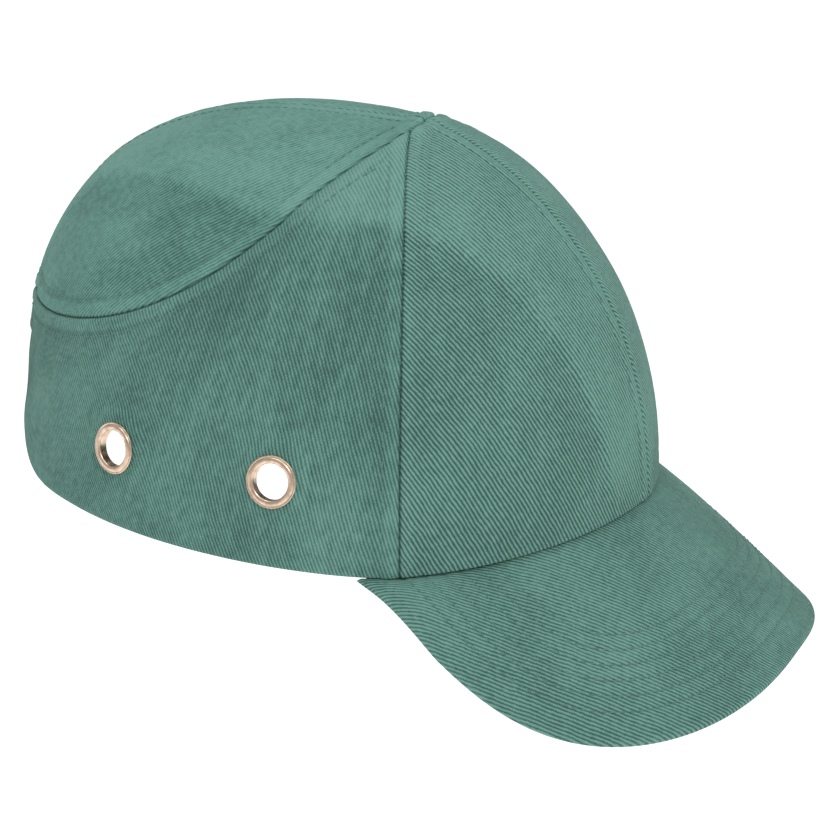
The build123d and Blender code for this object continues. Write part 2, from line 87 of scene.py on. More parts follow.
# Lower edge and the arch at the rear
RIM_HEIGHT = 7.2
RIM_SLOPE = 0.02
RIM_RISE = 9.3
RIM_RISE_START = 42.0
RIM_RISE_POWER = 1.25
ARCH_HALF_WIDTH = 41.0
ARCH_TOP = 48.0
ARCH_FLARE = 20.0
ARCH_FOOT = 5.6

# Visor
VISOR_SLOPE = math.radians(36.1)
VISOR_ARCH = 101.5
VISOR_HALF_WIDTH = 89.4
VISOR_REACH = 67.8
VISOR_BACK = 44.2
VISOR_ROUNDNESS = 2.38
VISOR_ROOT_HEIGHT = 17.7
VISOR_TIP_FORWARD = 34.6
VISOR_TIP_HALF_WIDTH = 83.3
VISOR_TIP_WIDTH = 2.2
VISOR_UNDER_RIM = 0.45
VISOR_ROOT_DEPTH = 0.9
VISOR_CORNER = 0.8
VISOR_THICKNESS = 3.6
VISOR_ROLL = 1.75
VISOR_COVER = 0.6
VISOR_PROUD = 0.55
VISOR_ROWS = (10.5, 15.5, 20.5, 25.5, 30.5, 35.5)

# Mesh spacing: close together at an edge, even elsewhere
SPACING = 0.95
EDGE_OFFSETS = (0.0, 0.12, 0.28, 0.48, 0.72, 1.0, 1.35, 1.8, 2.4)
LINE_STEPS = 160

# Sewing
GROOVE = 0.7
GROOVE_WIDTH = 0.3
ALLOWANCE = 5.0
DENT = 0.26
DENT_WIDTH = 0.5
HEM_ROLL = 0.6
STITCH_PITCH = 3.0
STITCH_LENGTH = 2.45
THREAD = 0.2

# The mark of a raised band pressed through the fabric; the CAD shell itself has no band
BAND_CENTRE = -16.0
BAND_EDGE = 24.0
BAND_SWELL = 25.0
BAND_AHEAD = 112.0
BAND_BEHIND = 74.0
BAND_RISE = 1.3
BAND_SOFTNESS = 4.0
BAND_FOOT, BAND_FADE = 18.0, 20.0
SHOULDER_DROP = 0.45
SHOULDER_FOOT, SHOULDER_FADE = 70.0, 25.0
SHOULDER_REACH = 45.0
SLACK = 0.4
RIPPLE = 0.1

# Tone of the cloth, from 0 dark to 1 light: worn places, painted light on the band's mark and painted
# shade in the seams; it gets lighter towards the rear
CLOTH_TONE = 0.31
BAND_LIGHT_AND_WEAR_TONE = 0.36
REAR_LIGHTENING_TONE = 0.22
REAR_LIGHTENING_START, REAR_LIGHTENING_LENGTH = 35.0, 50.0

# Eyelets
EYELET_HOLE = 6.5
EYELET_BORE = 5.75
EYELET_FLANGE = 8.3
EYELET_PROUD = 0.85
EYELET_LENGTH = 3.2


# ---- small tools -----------------------------------------------------------------------------

def smooth(x):
    """Soft step from 0 to 1."""
    x = np.clip(x, 0, 1)
    return x * x * (3 - 2 * x)


def bell(x):
    return np.exp(-np.asarray(x) ** 2)


def solve(function, low, high):
    """Where a function that is negative at low and positive at high crosses zero."""
    for _ in range(40):
        middle = (low + high) / 2
        below = function(middle) < 0
        low, high = np.where(below, middle, low), np.where(below, high, middle)
    return (low + high) / 2


def unit(vectors):
    return vectors / np.maximum(np.linalg.norm(vectors, axis=-1, keepdims=True), 1e-12)


def travelled(points):
    """Distance along a line of points at each point."""
    return np.concatenate([[0], np.cumsum(np.linalg.norm(np.diff(points, axis=0), axis=1))])


def speckle(points, size, seed=0.0):
    """Soft noise from about -1 to 1 at each point."""
    flat = np.asarray(points).reshape(-1, 3) / size + seed
    values = [noise.noise(Vector(p)) for p in flat]
    return np.array(values).reshape(np.asarray(points).shape[:-1])


def distance_to(line, points):
    """Distance of each point from a line of points, and how far along the line it is."""
    flat = points.reshape(-1, 3)
    chunks = np.array_split(flat, max(1, len(flat) // 3000))
    nearest = np.concatenate([((c[:, None] - line[None]) ** 2).sum(-1).argmin(1) for c in chunks])
    run = travelled(line)
    best, place = np.full(len(flat), np.inf), np.zeros(len(flat))
    for side in (-1, 0):
        start = np.clip(nearest + side, 0, len(line) - 2)
        a, along = line[start], line[start + 1] - line[start]
        length = (along ** 2).sum(-1)
        u = np.clip(((flat - a) * along).sum(-1) / length, 0, 1)
        away = np.linalg.norm(flat - a - u[:, None] * along, axis=1)
        closer = away < best
        best = np.where(closer, away, best)
        place = np.where(closer, run[start] + u * np.sqrt(length), place)
    return best.reshape(points.shape[:-1]), place.reshape(points.shape[:-1])


def graded(length, spacing=SPACING, start=True, end=True):
    """Parameters from 0 to 1 along a length, closer together near its ends."""
    near = np.array(EDGE_OFFSETS)
    low = near[-1] if start else 0.0
    high = length - (near[-1] if end else 0.0)
    inside = np.linspace(low, high, max(2, round((high - low) / spacing)) + 1)
    parts = [near[:-1]] if start else []
    parts.append(inside)
    if end:
        parts.append(length - near[:-1][::-1])
    return np.concatenate(parts) / length


# ---- the crown surface -----------------------------------------------------------------------

def by_direction(values, azimuth):
    front, side, rear = values
    ahead = np.cos(azimuth)
    return np.where(ahead > 0, front, rear) * ahead ** 2 + side * np.sin(azimuth) ** 2


def crown_at(azimuth, rise):
    """Outside point of the crown at an azimuth and a rise angle above the base."""
    rise = np.clip(rise, 0, np.pi / 2)
    spread = np.cos(rise) ** (2 / by_direction(PLAN_POWERS, azimuth))
    length = np.where(np.cos(azimuth) > 0, FRONT_LENGTH, REAR_LENGTH)
    forward = length * np.cos(azimuth) * spread + TOP_FORWARD * np.sin(rise) ** TOP_FORWARD_POWER
    height = HEIGHT * np.sin(rise) ** (2 / by_direction(RISE_POWERS, azimuth))
    return np.stack(np.broadcast_arrays(-HALF_WIDTH * np.sin(azimuth) * spread, -forward, height), -1)


def azimuth_and_rise(place):
    return np.angle(place), (1 - np.maximum(np.abs(place), 2e-3)) * np.pi / 2


def crown(place):
    return crown_at(*azimuth_and_rise(place))


def outwards(place):
    """Unit normal of the crown surface."""
    azimuth, rise = azimuth_and_rise(place)
    step = 2e-4
    along = crown_at(azimuth + step, rise) - crown_at(azimuth - step, rise)
    up = crown_at(azimuth, rise + step) - crown_at(azimuth, rise - step)
    return -unit(np.cross(along, up))


def above_foot(points):
    """0 below the foot of the raised band, 1 well above it."""
    return smooth((points[..., 2] - BAND_FOOT) / BAND_FADE)


def band_mark(points):
    """0 outside the shell's raised band, 1 on it."""
    behind = -points[..., 1] < BAND_CENTRE
    reach = np.where(behind, BAND_BEHIND, BAND_AHEAD)
    share = np.minimum(1, np.abs(-points[..., 1] - BAND_CENTRE) / reach)
    half_width = BAND_EDGE + BAND_SWELL * np.cos(np.pi / 2 * share)
    across = smooth((half_width - np.abs(points[..., 0])) / BAND_SOFTNESS + 0.5)
    return across * above_foot(points)


def lift(points):
    """How far the fabric stands off the crown surface.

    The band's mark stays level while the cloth beside it sinks, the shoulders before and
    behind the apex drop a little, and slack cloth ripples.
    """
    slack = SLACK * speckle(points, 34.0, 7.3)
    ripple = RIPPLE * speckle(points * [1, 1, 0.45], 12.0, 2.1)
    from_apex = smooth(np.abs(-points[..., 1] - APEX[0]) / SHOULDER_REACH)
    high = smooth((points[..., 2] - SHOULDER_FOOT) / SHOULDER_FADE)
    shoulder = SHOULDER_DROP * from_apex * high
    return BAND_RISE * (band_mark(points) - above_foot(points)) - shoulder + slack + ripple


def cloth(place, height):
    """Points a height outside the fabric's resting surface."""
    points = crown(place)
    return points + outwards(place) * (lift(points) + height)[..., None]


def place_at(azimuth, height):
    """Map place on the crown at an azimuth and a height."""
    power = by_direction(RISE_POWERS, azimuth) / 2
    rise = np.arcsin(np.clip(height / HEIGHT, 0, 1) ** power)
    return (1 - rise / (np.pi / 2)) * np.exp(1j * azimuth)


# ---- lines on the crown ----------------------------------------------------------------------

def bezier(points, t):
    order = len(points) - 1
    weights = [math.comb(order, i) * (1 - t) ** (order - i) * t ** i for i in range(order + 1)]
    return [sum(w * p[axis] for w, p in zip(weights, points)) for axis in (0, 1)]


def front_side_seam(shift=0.0):
    """From the lower edge to the apex; a shift moves it back."""
    forward, height = bezier(FRONT_SIDE_SEAM, np.linspace(0, 1, LINE_STEPS))

    def ahead(azimuth):
        return forward + shift + crown(place_at(azimuth, height))[..., 1]

    zeros = np.zeros_like(forward)
    return place_at(solve(ahead, zeros, zeros + math.radians(150)), height)


def side_crown_seam(azimuth, shift=0.0):
    """Places of the seam under the crown panel at azimuths."""
    forward, height = bezier(SIDE_CROWN_SEAM, np.linspace(0, 1, 2000))

    def above(rise):
        point = crown_at(azimuth, rise)
        ahead = -point[..., 1]
        seam = np.interp(ahead, forward[::-1], height[::-1])
        seam = np.where(ahead > APEX[0], APEX[1] + ahead - APEX[0], seam)
        return point[..., 2] - shift - seam

    zeros = np.zeros_like(azimuth)
    rise = solve(above, zeros + math.radians(1), zeros + math.radians(89.9))
    return (1 - rise / (np.pi / 2)) * np.exp(1j * azimuth)


def centre_line(start, end, beside=0.0):
    """Places along the mid-plane, or beside it on the wearer's right, between map distances."""
    ahead = np.linspace(start, end, LINE_STEPS)

    def across(side):
        return -crown(ahead + 1j * side)[..., 0] - beside

    zeros = np.zeros_like(ahead)
    return ahead + 1j * np.where(beside > 0, solve(across, zeros, zeros + 0.3), 1e-7)


def centre_ahead(forward):
    """Map distance ahead of the top at which the mid-plane reaches a forward distance."""
    found = solve(lambda a: -crown(a + 1e-7j)[..., 1] - forward, np.array([1e-4]), np.array([0.9]))
    return float(found[0])


def rim_height(forward):
    over_visor = np.maximum(0, (forward - RIM_RISE_START) / (FRONT_LENGTH - RIM_RISE_START))
    return RIM_HEIGHT + RIM_SLOPE * forward + RIM_RISE * over_visor ** RIM_RISE_POWER


def rim(azimuth, above=0.0):
    """Places on the lower edge, or a height above it."""
    height = RIM_HEIGHT + np.zeros_like(azimuth)
    for _ in range(6):
        height = rim_height(-crown(place_at(azimuth, height))[..., 1])
    return place_at(azimuth, height + above)


def place_across(side, height):
    """Place on the rear wall at a sideways position and height; side is positive to the right."""
    def wider(azimuth):
        return -crown(place_at(azimuth, height))[..., 0] - np.abs(side)

    zeros = np.zeros_like(side * height)
    found = place_at(solve(wider, zeros + np.pi, zeros + np.pi / 2), height + zeros)
    return np.where(side >= 0, found, np.conj(found))


def arch_line(growth=0.0, part=1.0):
    """Places round the arch from its right foot; part 0.5 stops at the middle."""
    spring = ARCH_FOOT + ARCH_FLARE
    flare = ARCH_FLARE - growth
    foot = ARCH_HALF_WIDTH + ARCH_FLARE
    turn = np.linspace(0, np.pi / 2, 40)
    rise = np.linspace(0, np.pi / 2, 90)[1:]
    side = np.concatenate([foot - flare * np.sin(turn), (ARCH_HALF_WIDTH + growth) * np.cos(rise)])
    height = np.concatenate(
        [spring - flare * np.cos(turn), spring + (ARCH_TOP + growth - spring) * np.sin(rise)]
    )
    low = rim_height(np.array([-80.0]))[0]
    half = place_across(np.maximum(side, 1e-5), np.maximum(height, low))
    if part < 1:
        return half
    return np.concatenate([half, np.conj(half[::-1][1:])])


def evenly(line, fractions):
    """Places at fractions of a line's length."""
    run = travelled(crown(line))
    run = run / run[-1]
    return np.interp(fractions, run, line.real) + 1j * np.interp(fractions, run, line.imag)


def length_of(line):
    return travelled(crown(line))[-1]


def coons(bottom, top, left, right, s, t):
    """Grid of places inside four lines: left and right run from bottom to top."""
    s, t = s[None, :], t[:, None]
    corners = (1 - s) * ((1 - t) * bottom[0] + t * top[0]) + s * ((1 - t) * bottom[-1] + t * top[-1])
    rows = (1 - t) * bottom[None] + t * top[None]
    return rows + (1 - s) * left[:, None] + s * right[:, None] - corners


def ruled(low, high, rows):
    return low[None] + (high - low)[None] * rows[:, None]


# ---- meshes ----------------------------------------------------------------------------------

def closed_sheet(outer, inner, keep=None):
    """Points, faces and the used point numbers of a closed sheet between matching grids."""
    rows, columns = outer.shape[:2]
    count = rows * columns
    index = np.arange(count).reshape(rows, columns)
    cells = np.stack([index[:-1, :-1], index[:-1, 1:], index[1:, 1:], index[1:, :-1]], -1)
    top = cells.reshape(-1, 4) if keep is None else cells[keep]
    edges = np.concatenate([top[:, [k, (k + 1) % 4]] for k in range(4)])
    there, back = edges[:, 0] * count + edges[:, 1], edges[:, 1] * count + edges[:, 0]
    border = edges[~np.isin(there, back)]
    walls = np.stack([border[:, 1], border[:, 0], border[:, 0] + count, border[:, 1] + count], -1)
    faces = np.concatenate([top, top[:, ::-1] + count, walls])
    used, faces = np.unique(faces, return_inverse=True)
    points = np.concatenate([outer.reshape(-1, 3), inner.reshape(-1, 3)])[used]
    return points, faces.reshape(-1, 4), used


def facing_out(points, faces):
    """The faces turned so that a closed mesh has a positive volume."""
    a, b, c, d = (points[faces[:, k]] for k in range(4))
    volume = (a * np.cross(b, c)).sum() + (a * np.cross(c, d)).sum()
    return faces if volume > 0 else faces[:, ::-1]


def make_mesh(name, points, faces, attributes=None, sharp=50):
    """A smooth-shaded object from points in millimetres."""
    mesh = bpy.data.meshes.new(name)
    faces = faces.tolist() if hasattr(faces, "tolist") else faces
    mesh.from_pydata((points * MM).tolist(), [], faces)
    for key, values in (attributes or {}).items():
        if values.ndim == 1:
            mesh.attributes.new(key, "FLOAT", "POINT").data.foreach_set("value", values)
        else:
            layer = mesh.attributes.new(key, "FLOAT_VECTOR", "POINT")
            layer.data.foreach_set("vector", values.astype(np.float32).ravel())
    mesh.polygons.foreach_set("use_smooth", [True] * len(mesh.polygons))
    mesh.set_sharp_from_angle(angle=math.radians(sharp))
    mesh.validate()
    obj = bpy.data.objects.new(name, mesh)
    bpy.context.scene.collection.objects.link(obj)
    return obj


def dress(obj, material, body):
    """Material and body of a piece."""
    obj.data.materials.clear()
    obj.data.materials.append(material)
    if body:
        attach(obj, body)
    return obj


def thread_coordinates(points):
    """Cloth coordinates of a grid in metres: across from its middle column, and up it."""
    across = np.cumsum(np.linalg.norm(np.diff(points, axis=1), axis=-1), axis=1)
    across = np.concatenate([np.zeros((len(points), 1)), across], axis=1)
    middle = points.shape[1] // 2
    across -= across[:, middle:middle + 1]
    up = np.repeat(travelled(points[:, middle])[:, None], points.shape[1], axis=1)
    return np.stack([across, up, np.zeros_like(up)], -1) * MM


def sheet_object(name, outer, inner, tone=None, keep=None, weave=None):
    """A closed sheet with cloth coordinates and a tone, from 0 dark to 1 light, that carries wear,
    painted light and painted shade.
    """
    points, faces, used = closed_sheet(outer, inner, keep)
    weave = thread_coordinates(outer) if weave is None else weave
    tone = np.full(outer.shape[:2], 0.5) if tone is None else tone
    attributes = {
        "weave": np.concatenate([weave.reshape(-1, 3)] * 2)[used],
        "tone": np.concatenate([tone.ravel()] * 2)[used],
    }
    return make_mesh(name, points, facing_out(points, faces), attributes)


def stitch_mesh(name, runs):
    """Short lengths of thread along lines; a run is its points and the normals there."""
    rings, sides = 5, 6
    tau = np.linspace(-1, 1, rings)
    turn = np.arange(sides) * 2 * np.pi / sides
    points, faces, count = [], [], 0
    for line, normals in runs:
        run = travelled(line)
        total = int((run[-1] - 2.0) // STITCH_PITCH)
        for k in range(total):
            middle = 1.0 + (k + 0.5) * (run[-1] - 2.0) / total
            at = middle + tau * STITCH_LENGTH / 2
            centre = np.stack([np.interp(at, run, line[:, i]) for i in range(3)], -1)
            normal = unit(np.stack([np.interp(at, run, normals[:, i]) for i in range(3)], -1))
            side = unit(np.cross(unit(centre[-1] - centre[0]), normal))
            radius = THREAD * (1 - 0.45 * tau ** 4)
            centre = centre + normal * (0.12 - 0.3 * tau ** 4)[:, None]
            ring = normal[:, None] * np.sin(turn)[None, :, None]
            ring = ring + side[:, None] * np.cos(turn)[None, :, None]
            points.append((centre[:, None] + ring * radius[:, None, None]).reshape(-1, 3))
            for r in range(rings - 1):
                for j in range(sides):
                    a, b = count + r * sides + j, count + r * sides + (j + 1) % sides
                    faces.append([a, b, b + sides, a + sides])
            faces.append([count + j for j in reversed(range(sides))])
            faces.append([count + (rings - 1) * sides + j for j in range(sides)])
            count += rings * sides
    return make_mesh(name, np.concatenate(points), faces)


# ---- materials -------------------------------------------------------------------------------

class Material:
    """A node material, built from the shader back."""

    def __init__(self, name, roughness=0.8, **constants):
        self.material = bpy.data.materials.new(name)
        self.material.use_nodes = True
        self.tree = self.material.node_tree
        self.tree.nodes.clear()
        out = self.tree.nodes.new("ShaderNodeOutputMaterial")
        self.shader = self.tree.nodes.new("ShaderNodeBsdfPrincipled")
        self.tree.links.new(self.shader.outputs[0], out.inputs["Surface"])
        self.shader.inputs["Roughness"].default_value = roughness
        for key, value in constants.items():
            self.shader.inputs[key.replace("_", " ")].default_value = value

    def node(self, kind, inputs=(), **settings):
        made = self.tree.nodes.new("ShaderNode" + kind)
        for key, value in settings.items():
            setattr(made, key, value)
        for key, value in dict(inputs).items():
            self.feed(made.inputs[key], value)
        return made

    def feed(self, socket, value):
        if isinstance(value, bpy.types.NodeSocket):
            self.tree.links.new(value, socket)
        else:
            socket.default_value = value

    def maths(self, operation, *values):
        made = self.node("Math", operation=operation)
        for socket, value in zip(made.inputs, values):
            self.feed(socket, value)
        return made.outputs[0]

    def wave(self, phase):
        """0 to 1 and back each time the phase grows by 1."""
        turn = self.maths("MULTIPLY", phase, 2 * math.pi)
        return self.maths("MULTIPLY_ADD", self.maths("SINE", turn), 0.5, 0.5)

    def noise(self, vector, scale, detail=2.0, roughness=0.55):
        inputs = {"Vector": vector, "Scale": scale, "Detail": detail, "Roughness": roughness}
        return self.node("TexNoise", inputs).outputs["Fac"]

    def vary(self, level, source, amount):
        """The level moved by half an amount down or up, as the source goes from 0 to 1."""
        return self.maths("ADD", level, self.maths("MULTIPLY_ADD", source, amount, -amount / 2))

    def place(self):
        return self.node("TexCoord").outputs["Object"]

    def ramp(self, factor, stops):
        made = self.node("ValToRGB", {"Fac": factor})
        ramp = made.color_ramp
        while len(ramp.elements) < len(stops):
            ramp.elements.new(0.5)
        for element, (position, colour) in zip(ramp.elements, stops):
            element.position = position
            element.color = (*colour, 1.0)
        return made.outputs["Color"]

    def bump(self, height, strength, distance):
        inputs = {"Height": height, "Strength": strength, "Distance": distance}
        self.feed(self.shader.inputs["Normal"], self.node("Bump", inputs).outputs[0])

    def colour(self, value):
        self.feed(self.shader.inputs["Base Color"], value)

    def roughness(self, value):
        self.feed(self.shader.inputs["Roughness"], value)


# How far each thing moves the cloth's tone, and how the ribs wander, in ribs
RIB_TONE, SLUB_TONE, FIBRE_TONE = 0.62, 0.8, 0.7
PATCH_TONE, STREAK_TONE, WEAR_LIGHT_AND_SHADE_TONE = 1.1, 0.34, 0.8
RIB_DRIFT, RIB_WOBBLE = 0.9, 0.3
YARN_TURN = 0.62
MEAN_HEIGHT = 0.6


def scaled(colour, factor):
    return tuple(channel * factor for channel in colour)


def twill_material(name, base, angle, pitch=1.25, contrast=1.0, streaks=1.0):
    """Diagonal ribs of rope-like yarn, faded in patches; angle is the ribs' rise in degrees."""
    m = Material(name, 0.9, Sheen_Weight=0.03, Sheen_Roughness=0.45, Specular_IOR_Level=0.25)
    m.shader.inputs["Sheen Tint"].default_value = (0.80, 0.88, 0.84, 1)
    weave = m.node("Attribute", attribute_name="weave").outputs["Vector"]
    tone = m.node("Attribute", attribute_name="tone").outputs["Fac"]
    parts = m.node("SeparateXYZ", {"Vector": weave}).outputs
    turn = math.radians(angle)
    across = m.maths("MULTIPLY", parts["X"], -math.sin(turn))
    across = m.maths("ADD", across, m.maths("MULTIPLY", parts["Y"], math.cos(turn)))
    along = m.maths("MULTIPLY", parts["X"], math.cos(turn))
    along = m.maths("ADD", along, m.maths("MULTIPLY", parts["Y"], math.sin(turn)))
    drift = m.noise(weave, 90.0, 2.0)
    wobble = m.noise(weave, 900.0, 1.0)
    phase = m.maths("MULTIPLY_ADD", across, 1 / (pitch * MM), m.maths("MULTIPLY", drift, RIB_DRIFT))
    phase = m.maths("ADD", phase, m.maths("MULTIPLY", wobble, RIB_WOBBLE))
    rib = m.maths("POWER", m.wave(phase), 0.8)
    yarn = m.maths("MULTIPLY_ADD", along, 1 / (YARN_TURN * MM), m.maths("MULTIPLY", phase, 0.5))
    twist = m.wave(m.maths("ADD", yarn, m.maths("MULTIPLY", wobble, 0.8)))
    fibre = m.noise(weave, 4200.0, 2.0, 0.7)
    slub = m.noise(weave, 420.0, 2.0)
    height = m.maths("MULTIPLY", rib, m.maths("MULTIPLY_ADD", twist, 0.30, 0.70))
    height = m.maths("ADD", height, m.maths("MULTIPLY", fibre, 0.42))
    level = m.maths("MULTIPLY_ADD", m.maths("SUBTRACT", height, MEAN_HEIGHT), RIB_TONE * contrast, 0.5)
    level = m.vary(level, slub, SLUB_TONE)
    level = m.vary(level, fibre, FIBRE_TONE)
    patch = m.noise(weave, 26.0, 3.0)
    tall = m.node("Mapping", {"Vector": weave, "Scale": (160.0, 38.0, 1.0)}).outputs[0]
    streak = m.noise(tall, 1.0, 3.0)
    level = m.vary(level, patch, PATCH_TONE)
    level = m.vary(level, streak, STREAK_TONE * streaks)
    # The tone attribute moves the colour: worn places, painted light on the band's mark, painted shade
    # in seams and at the visor's root
    level = m.vary(level, tone, WEAR_LIGHT_AND_SHADE_TONE)
    fleck = m.maths("GREATER_THAN", m.noise(weave, 1500.0, 1.0), 0.765)
    level = m.maths("ADD", level, m.maths("MULTIPLY", fleck, 0.3))
    light = tuple(0.5 * (c * 1.62 + grey) for c, grey in zip(base, (0.205, 0.335, 0.288)))
    stops = [(0.0, scaled(base, 0.45)), (0.5, base), (1.0, light)]
    m.colour(m.ramp(level, stops))
    m.roughness(m.maths("MULTIPLY_ADD", height, -0.12, 0.98))
    m.bump(height, 0.75, 0.00032)
    return m.material


def thread_material():
    m = Material("sewing_thread", 0.6, Sheen_Weight=0.1)
    where = m.place()
    strands = m.noise(where, 3500.0, 1.0)
    m.colour(m.ramp(strands, [(0.3, (0.072, 0.180, 0.148)), (0.7, (0.125, 0.262, 0.218))]))
    m.bump(strands, 0.5, 0.0001)
    return m.material


def metal_material():
    """Copper-toned plated metal, rubbed brighter in places."""
    m = Material("eyelet_metal_rubbed", 0.3, Metallic=1.0)
    where = m.place()
    tarnish = m.noise(where, 420.0, 4.0, 0.65)
    stops = [(0.3, (0.52, 0.375, 0.275)), (0.55, (0.76, 0.585, 0.445)), (0.8, (0.90, 0.76, 0.62))]
    m.colour(m.ramp(tarnish, stops))
    scratch = m.node("Mapping", {"Vector": where, "Scale": (300.0, 4200.0, 900.0)}).outputs[0]
    fine = m.noise(scratch, 1.0, 3.0)
    m.roughness(m.maths("MULTIPLY_ADD", tarnish, -0.3, 0.46))
    m.bump(fine, 0.12, 0.00008)
    return m.material


def tape_material(name, base, pitch=0.7):
    """Flat plain weave."""
    m = Material(name, 0.92, Sheen_Weight=0.15, Specular_IOR_Level=0.2)
    weave = m.node("Attribute", attribute_name="weave").outputs["Vector"]
    parts = m.node("SeparateXYZ", {"Vector": weave}).outputs
    warp = m.wave(m.maths("MULTIPLY", parts["X"], 1 / (pitch * MM)))
    weft = m.wave(m.maths("MULTIPLY", parts["Y"], 1 / (pitch * MM)))
    over = m.maths("ABSOLUTE", m.maths("SUBTRACT", warp, weft))
    fibre = m.noise(weave, 3800.0, 2.0)
    height = m.maths("MULTIPLY_ADD", fibre, 0.4, over)
    worn = m.maths("MULTIPLY_ADD", m.noise(weave, 45.0, 3.0), 0.7, m.maths("MULTIPLY", height, 0.35))
    m.colour(m.ramp(worn, [(0.25, scaled(base, 0.62)), (0.8, scaled(base, 1.35))]))
    m.bump(height, 0.5, 0.00018)
    return m.material


def pile_material(name, base, scale):
    """Tangled loops, or rows of stiff hooks."""
    m = Material(name, 0.95, Sheen_Weight=0.3)
    where = m.place()
    cells = m.node("TexVoronoi", {"Vector": where, "Scale": scale}).outputs["Distance"]
    fuzz = m.noise(where, scale * 2.2, 3.0, 0.7)
    height = m.maths("ADD", m.maths("MULTIPLY", cells, -1.0), fuzz)
    m.colour(m.ramp(fuzz, [(0.3, scaled(base, 0.5)), (0.75, scaled(base, 1.5))]))
    m.bump(height, 0.8, 0.0005)
    return m.material


def plastic_material(name, base, grain=900.0):
    """Moulded plastic with a fine spark texture and scuffs."""
    m = Material(name, 0.5, Specular_IOR_Level=0.45)
    where = m.place()
    spark = m.noise(where, grain, 2.0)
    scuff = m.noise(where, 38.0, 5.0, 0.7)
    m.colour(m.ramp(scuff, [(0.3, scaled(base, 0.84)), (0.62, base), (0.85, scaled(base, 1.08))]))
    m.roughness(m.maths("MULTIPLY_ADD", scuff, 0.34, 0.3))
    m.bump(spark, 0.16, 0.0002)
    return m.material


def foam_material(name, base):
    """Closed-cell foam: small pores and a slightly mottled skin."""
    m = Material(name, 0.85, Specular_IOR_Level=0.3)
    where = m.place()
    pores = m.node("TexVoronoi", {"Vector": where, "Scale": 850.0}).outputs["Distance"]
    mottle = m.noise(where, 60.0, 4.0)
    m.colour(m.ramp(mottle, [(0.3, scaled(base, 0.7)), (0.75, scaled(base, 1.5))]))
    m.bump(m.maths("POWER", pores, 0.5), 0.5, 0.0004)
    return m.material


# Direction and spacing of the ribs are set panel by panel for the look, not from one cloth
GREEN = (0.104, 0.250, 0.210)
FRONT_TWILL = twill_material("twill_front", GREEN, 62.0, 1.25, 2.5)
SIDE_TWILL = twill_material("twill_side", GREEN, 50.0, 0.92, 1.35)
# The crown panels' copy of the green is 1.12 times lighter: painted light from above on the top of the
# cap
CROWN_TWILL = twill_material("twill_crown_lit_copy", scaled(GREEN, 1.12), 77.0, 1.05, 1.15)
VISOR_TWILL = twill_material("twill_visor", GREEN, 68.0, 1.1, 2.0, streaks=0.4)
LINING = tape_material("seam_tape_weave", (0.080, 0.170, 0.142))
BAND_CLOTH = tape_material("sweatband_weave", (0.070, 0.150, 0.125), 1.3)
STRAP_CLOTH = twill_material("strap_twill", scaled(GREEN, 0.95), -30.0, streaks=0.3)
THREAD_GREEN = thread_material()
METAL = metal_material()
HOOKS = pile_material("hook_field", (0.045, 0.095, 0.080), 1600.0)
LOOPS = pile_material("loop_pile", (0.060, 0.125, 0.105), 700.0)
SHELL_PLASTIC = plastic_material("shell_moulding", (0.72, 0.71, 0.66))
BOARD_PLASTIC = plastic_material("visor_board_sheet", (0.62, 0.62, 0.58), 300.0)
FOAM = foam_material("pad_foam", (0.030, 0.031, 0.034))


# ---- crown panels ----------------------------------------------------------------------------

def seam_relief(distance, rows=(ALLOWANCE,), raise_by=0.4, width=ALLOWANCE):
    """Height beside a seam: rolled into the groove, raised over the allowance, dented by rows."""
    height = -GROOVE * bell(distance / GROOVE_WIDTH)
    height += raise_by * smooth(distance / 1.4) * (1 - smooth((distance - width + 0.6) / 1.8))
    for row in rows:
        height -= DENT * bell((distance - row) / DENT_WIDTH)
    return height


def pucker(distance, along, seed):
    """Small folds that a seam draws into the cloth beside it."""
    shift = np.sin(along / 17.0 + seed) * 2.2 + np.sin(along / 7.3 + 2 * seed)
    folds = np.sin(along * 2 * np.pi / 8.5 + shift)
    strength = 0.55 + 0.45 * np.sin(along / 23.0 + 3 * seed)
    return 0.2 * folds * strength * smooth(distance / 2) * np.exp(-distance / 6.5)


def rolled_edge(distance, radius=HEM_ROLL):
    """How far an edge of cloth turns in, as a quarter circle."""
    inside = np.clip(radius - distance, 0, radius)
    return radius - np.sqrt(np.maximum(radius ** 2 - inside ** 2, 0))


EYELETS = {key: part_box(f"eyelet_{key}_right") for key in ("front", "rear")}


def eyelet_place(key):
    """Place of an eyelet on the right side, from the middle of its CAD box."""
    low, high = EYELETS[key]
    middle = (np.array(low) + np.array(high)) / 2 / MM
    azimuths = np.radians(np.linspace(60, 150, 1801))
    heights = np.full_like(azimuths, middle[2])
    points = crown(place_at(azimuths, heights))
    best = np.linalg.norm(points - middle, axis=1).argmin()
    return place_at(azimuths[best:best + 1], heights[best:best + 1])


def eyelet_axis(key):
    place = eyelet_place(key)
    return crown(place)[0], outwards(place)[0]


def flattened(points):
    """Height that lays the cloth flat under each eyelet, and the holes to cut."""
    height = np.zeros(points.shape[:-1])
    radii = []
    for key in EYELETS:
        centre, axis = eyelet_axis(key)
        offset = points - centre
        off_plane = offset @ axis
        radial = offset - off_plane[..., None] * axis
        radius = np.linalg.norm(radial, axis=-1)
        share = 1 - smooth((radius - EYELET_FLANGE - 0.4) / 5.5)
        height += share * (-off_plane - lift(points) - 0.02)
        height -= 0.35 * bell((radius - EYELET_FLANGE - 0.9) / 0.9)
        radii.append((radius, radial))
    return height, radii


def snap_holes(grid, radii, keep):
    """Moves the points round each hole onto its circle."""
    rows, columns = keep.shape
    kept = np.zeros((rows + 1, columns + 1), int)
    for i in (0, 1):
        for j in (0, 1):
            kept[i:rows + i, j:columns + j] += keep
    for radius, radial in radii:
        edge = (kept > 0) & (kept < 4) & (radius < EYELET_HOLE + 2)
        shift = (EYELET_HOLE - radius[edge]) / radius[edge]
        grid[edge] += radial[edge] * shift[:, None]


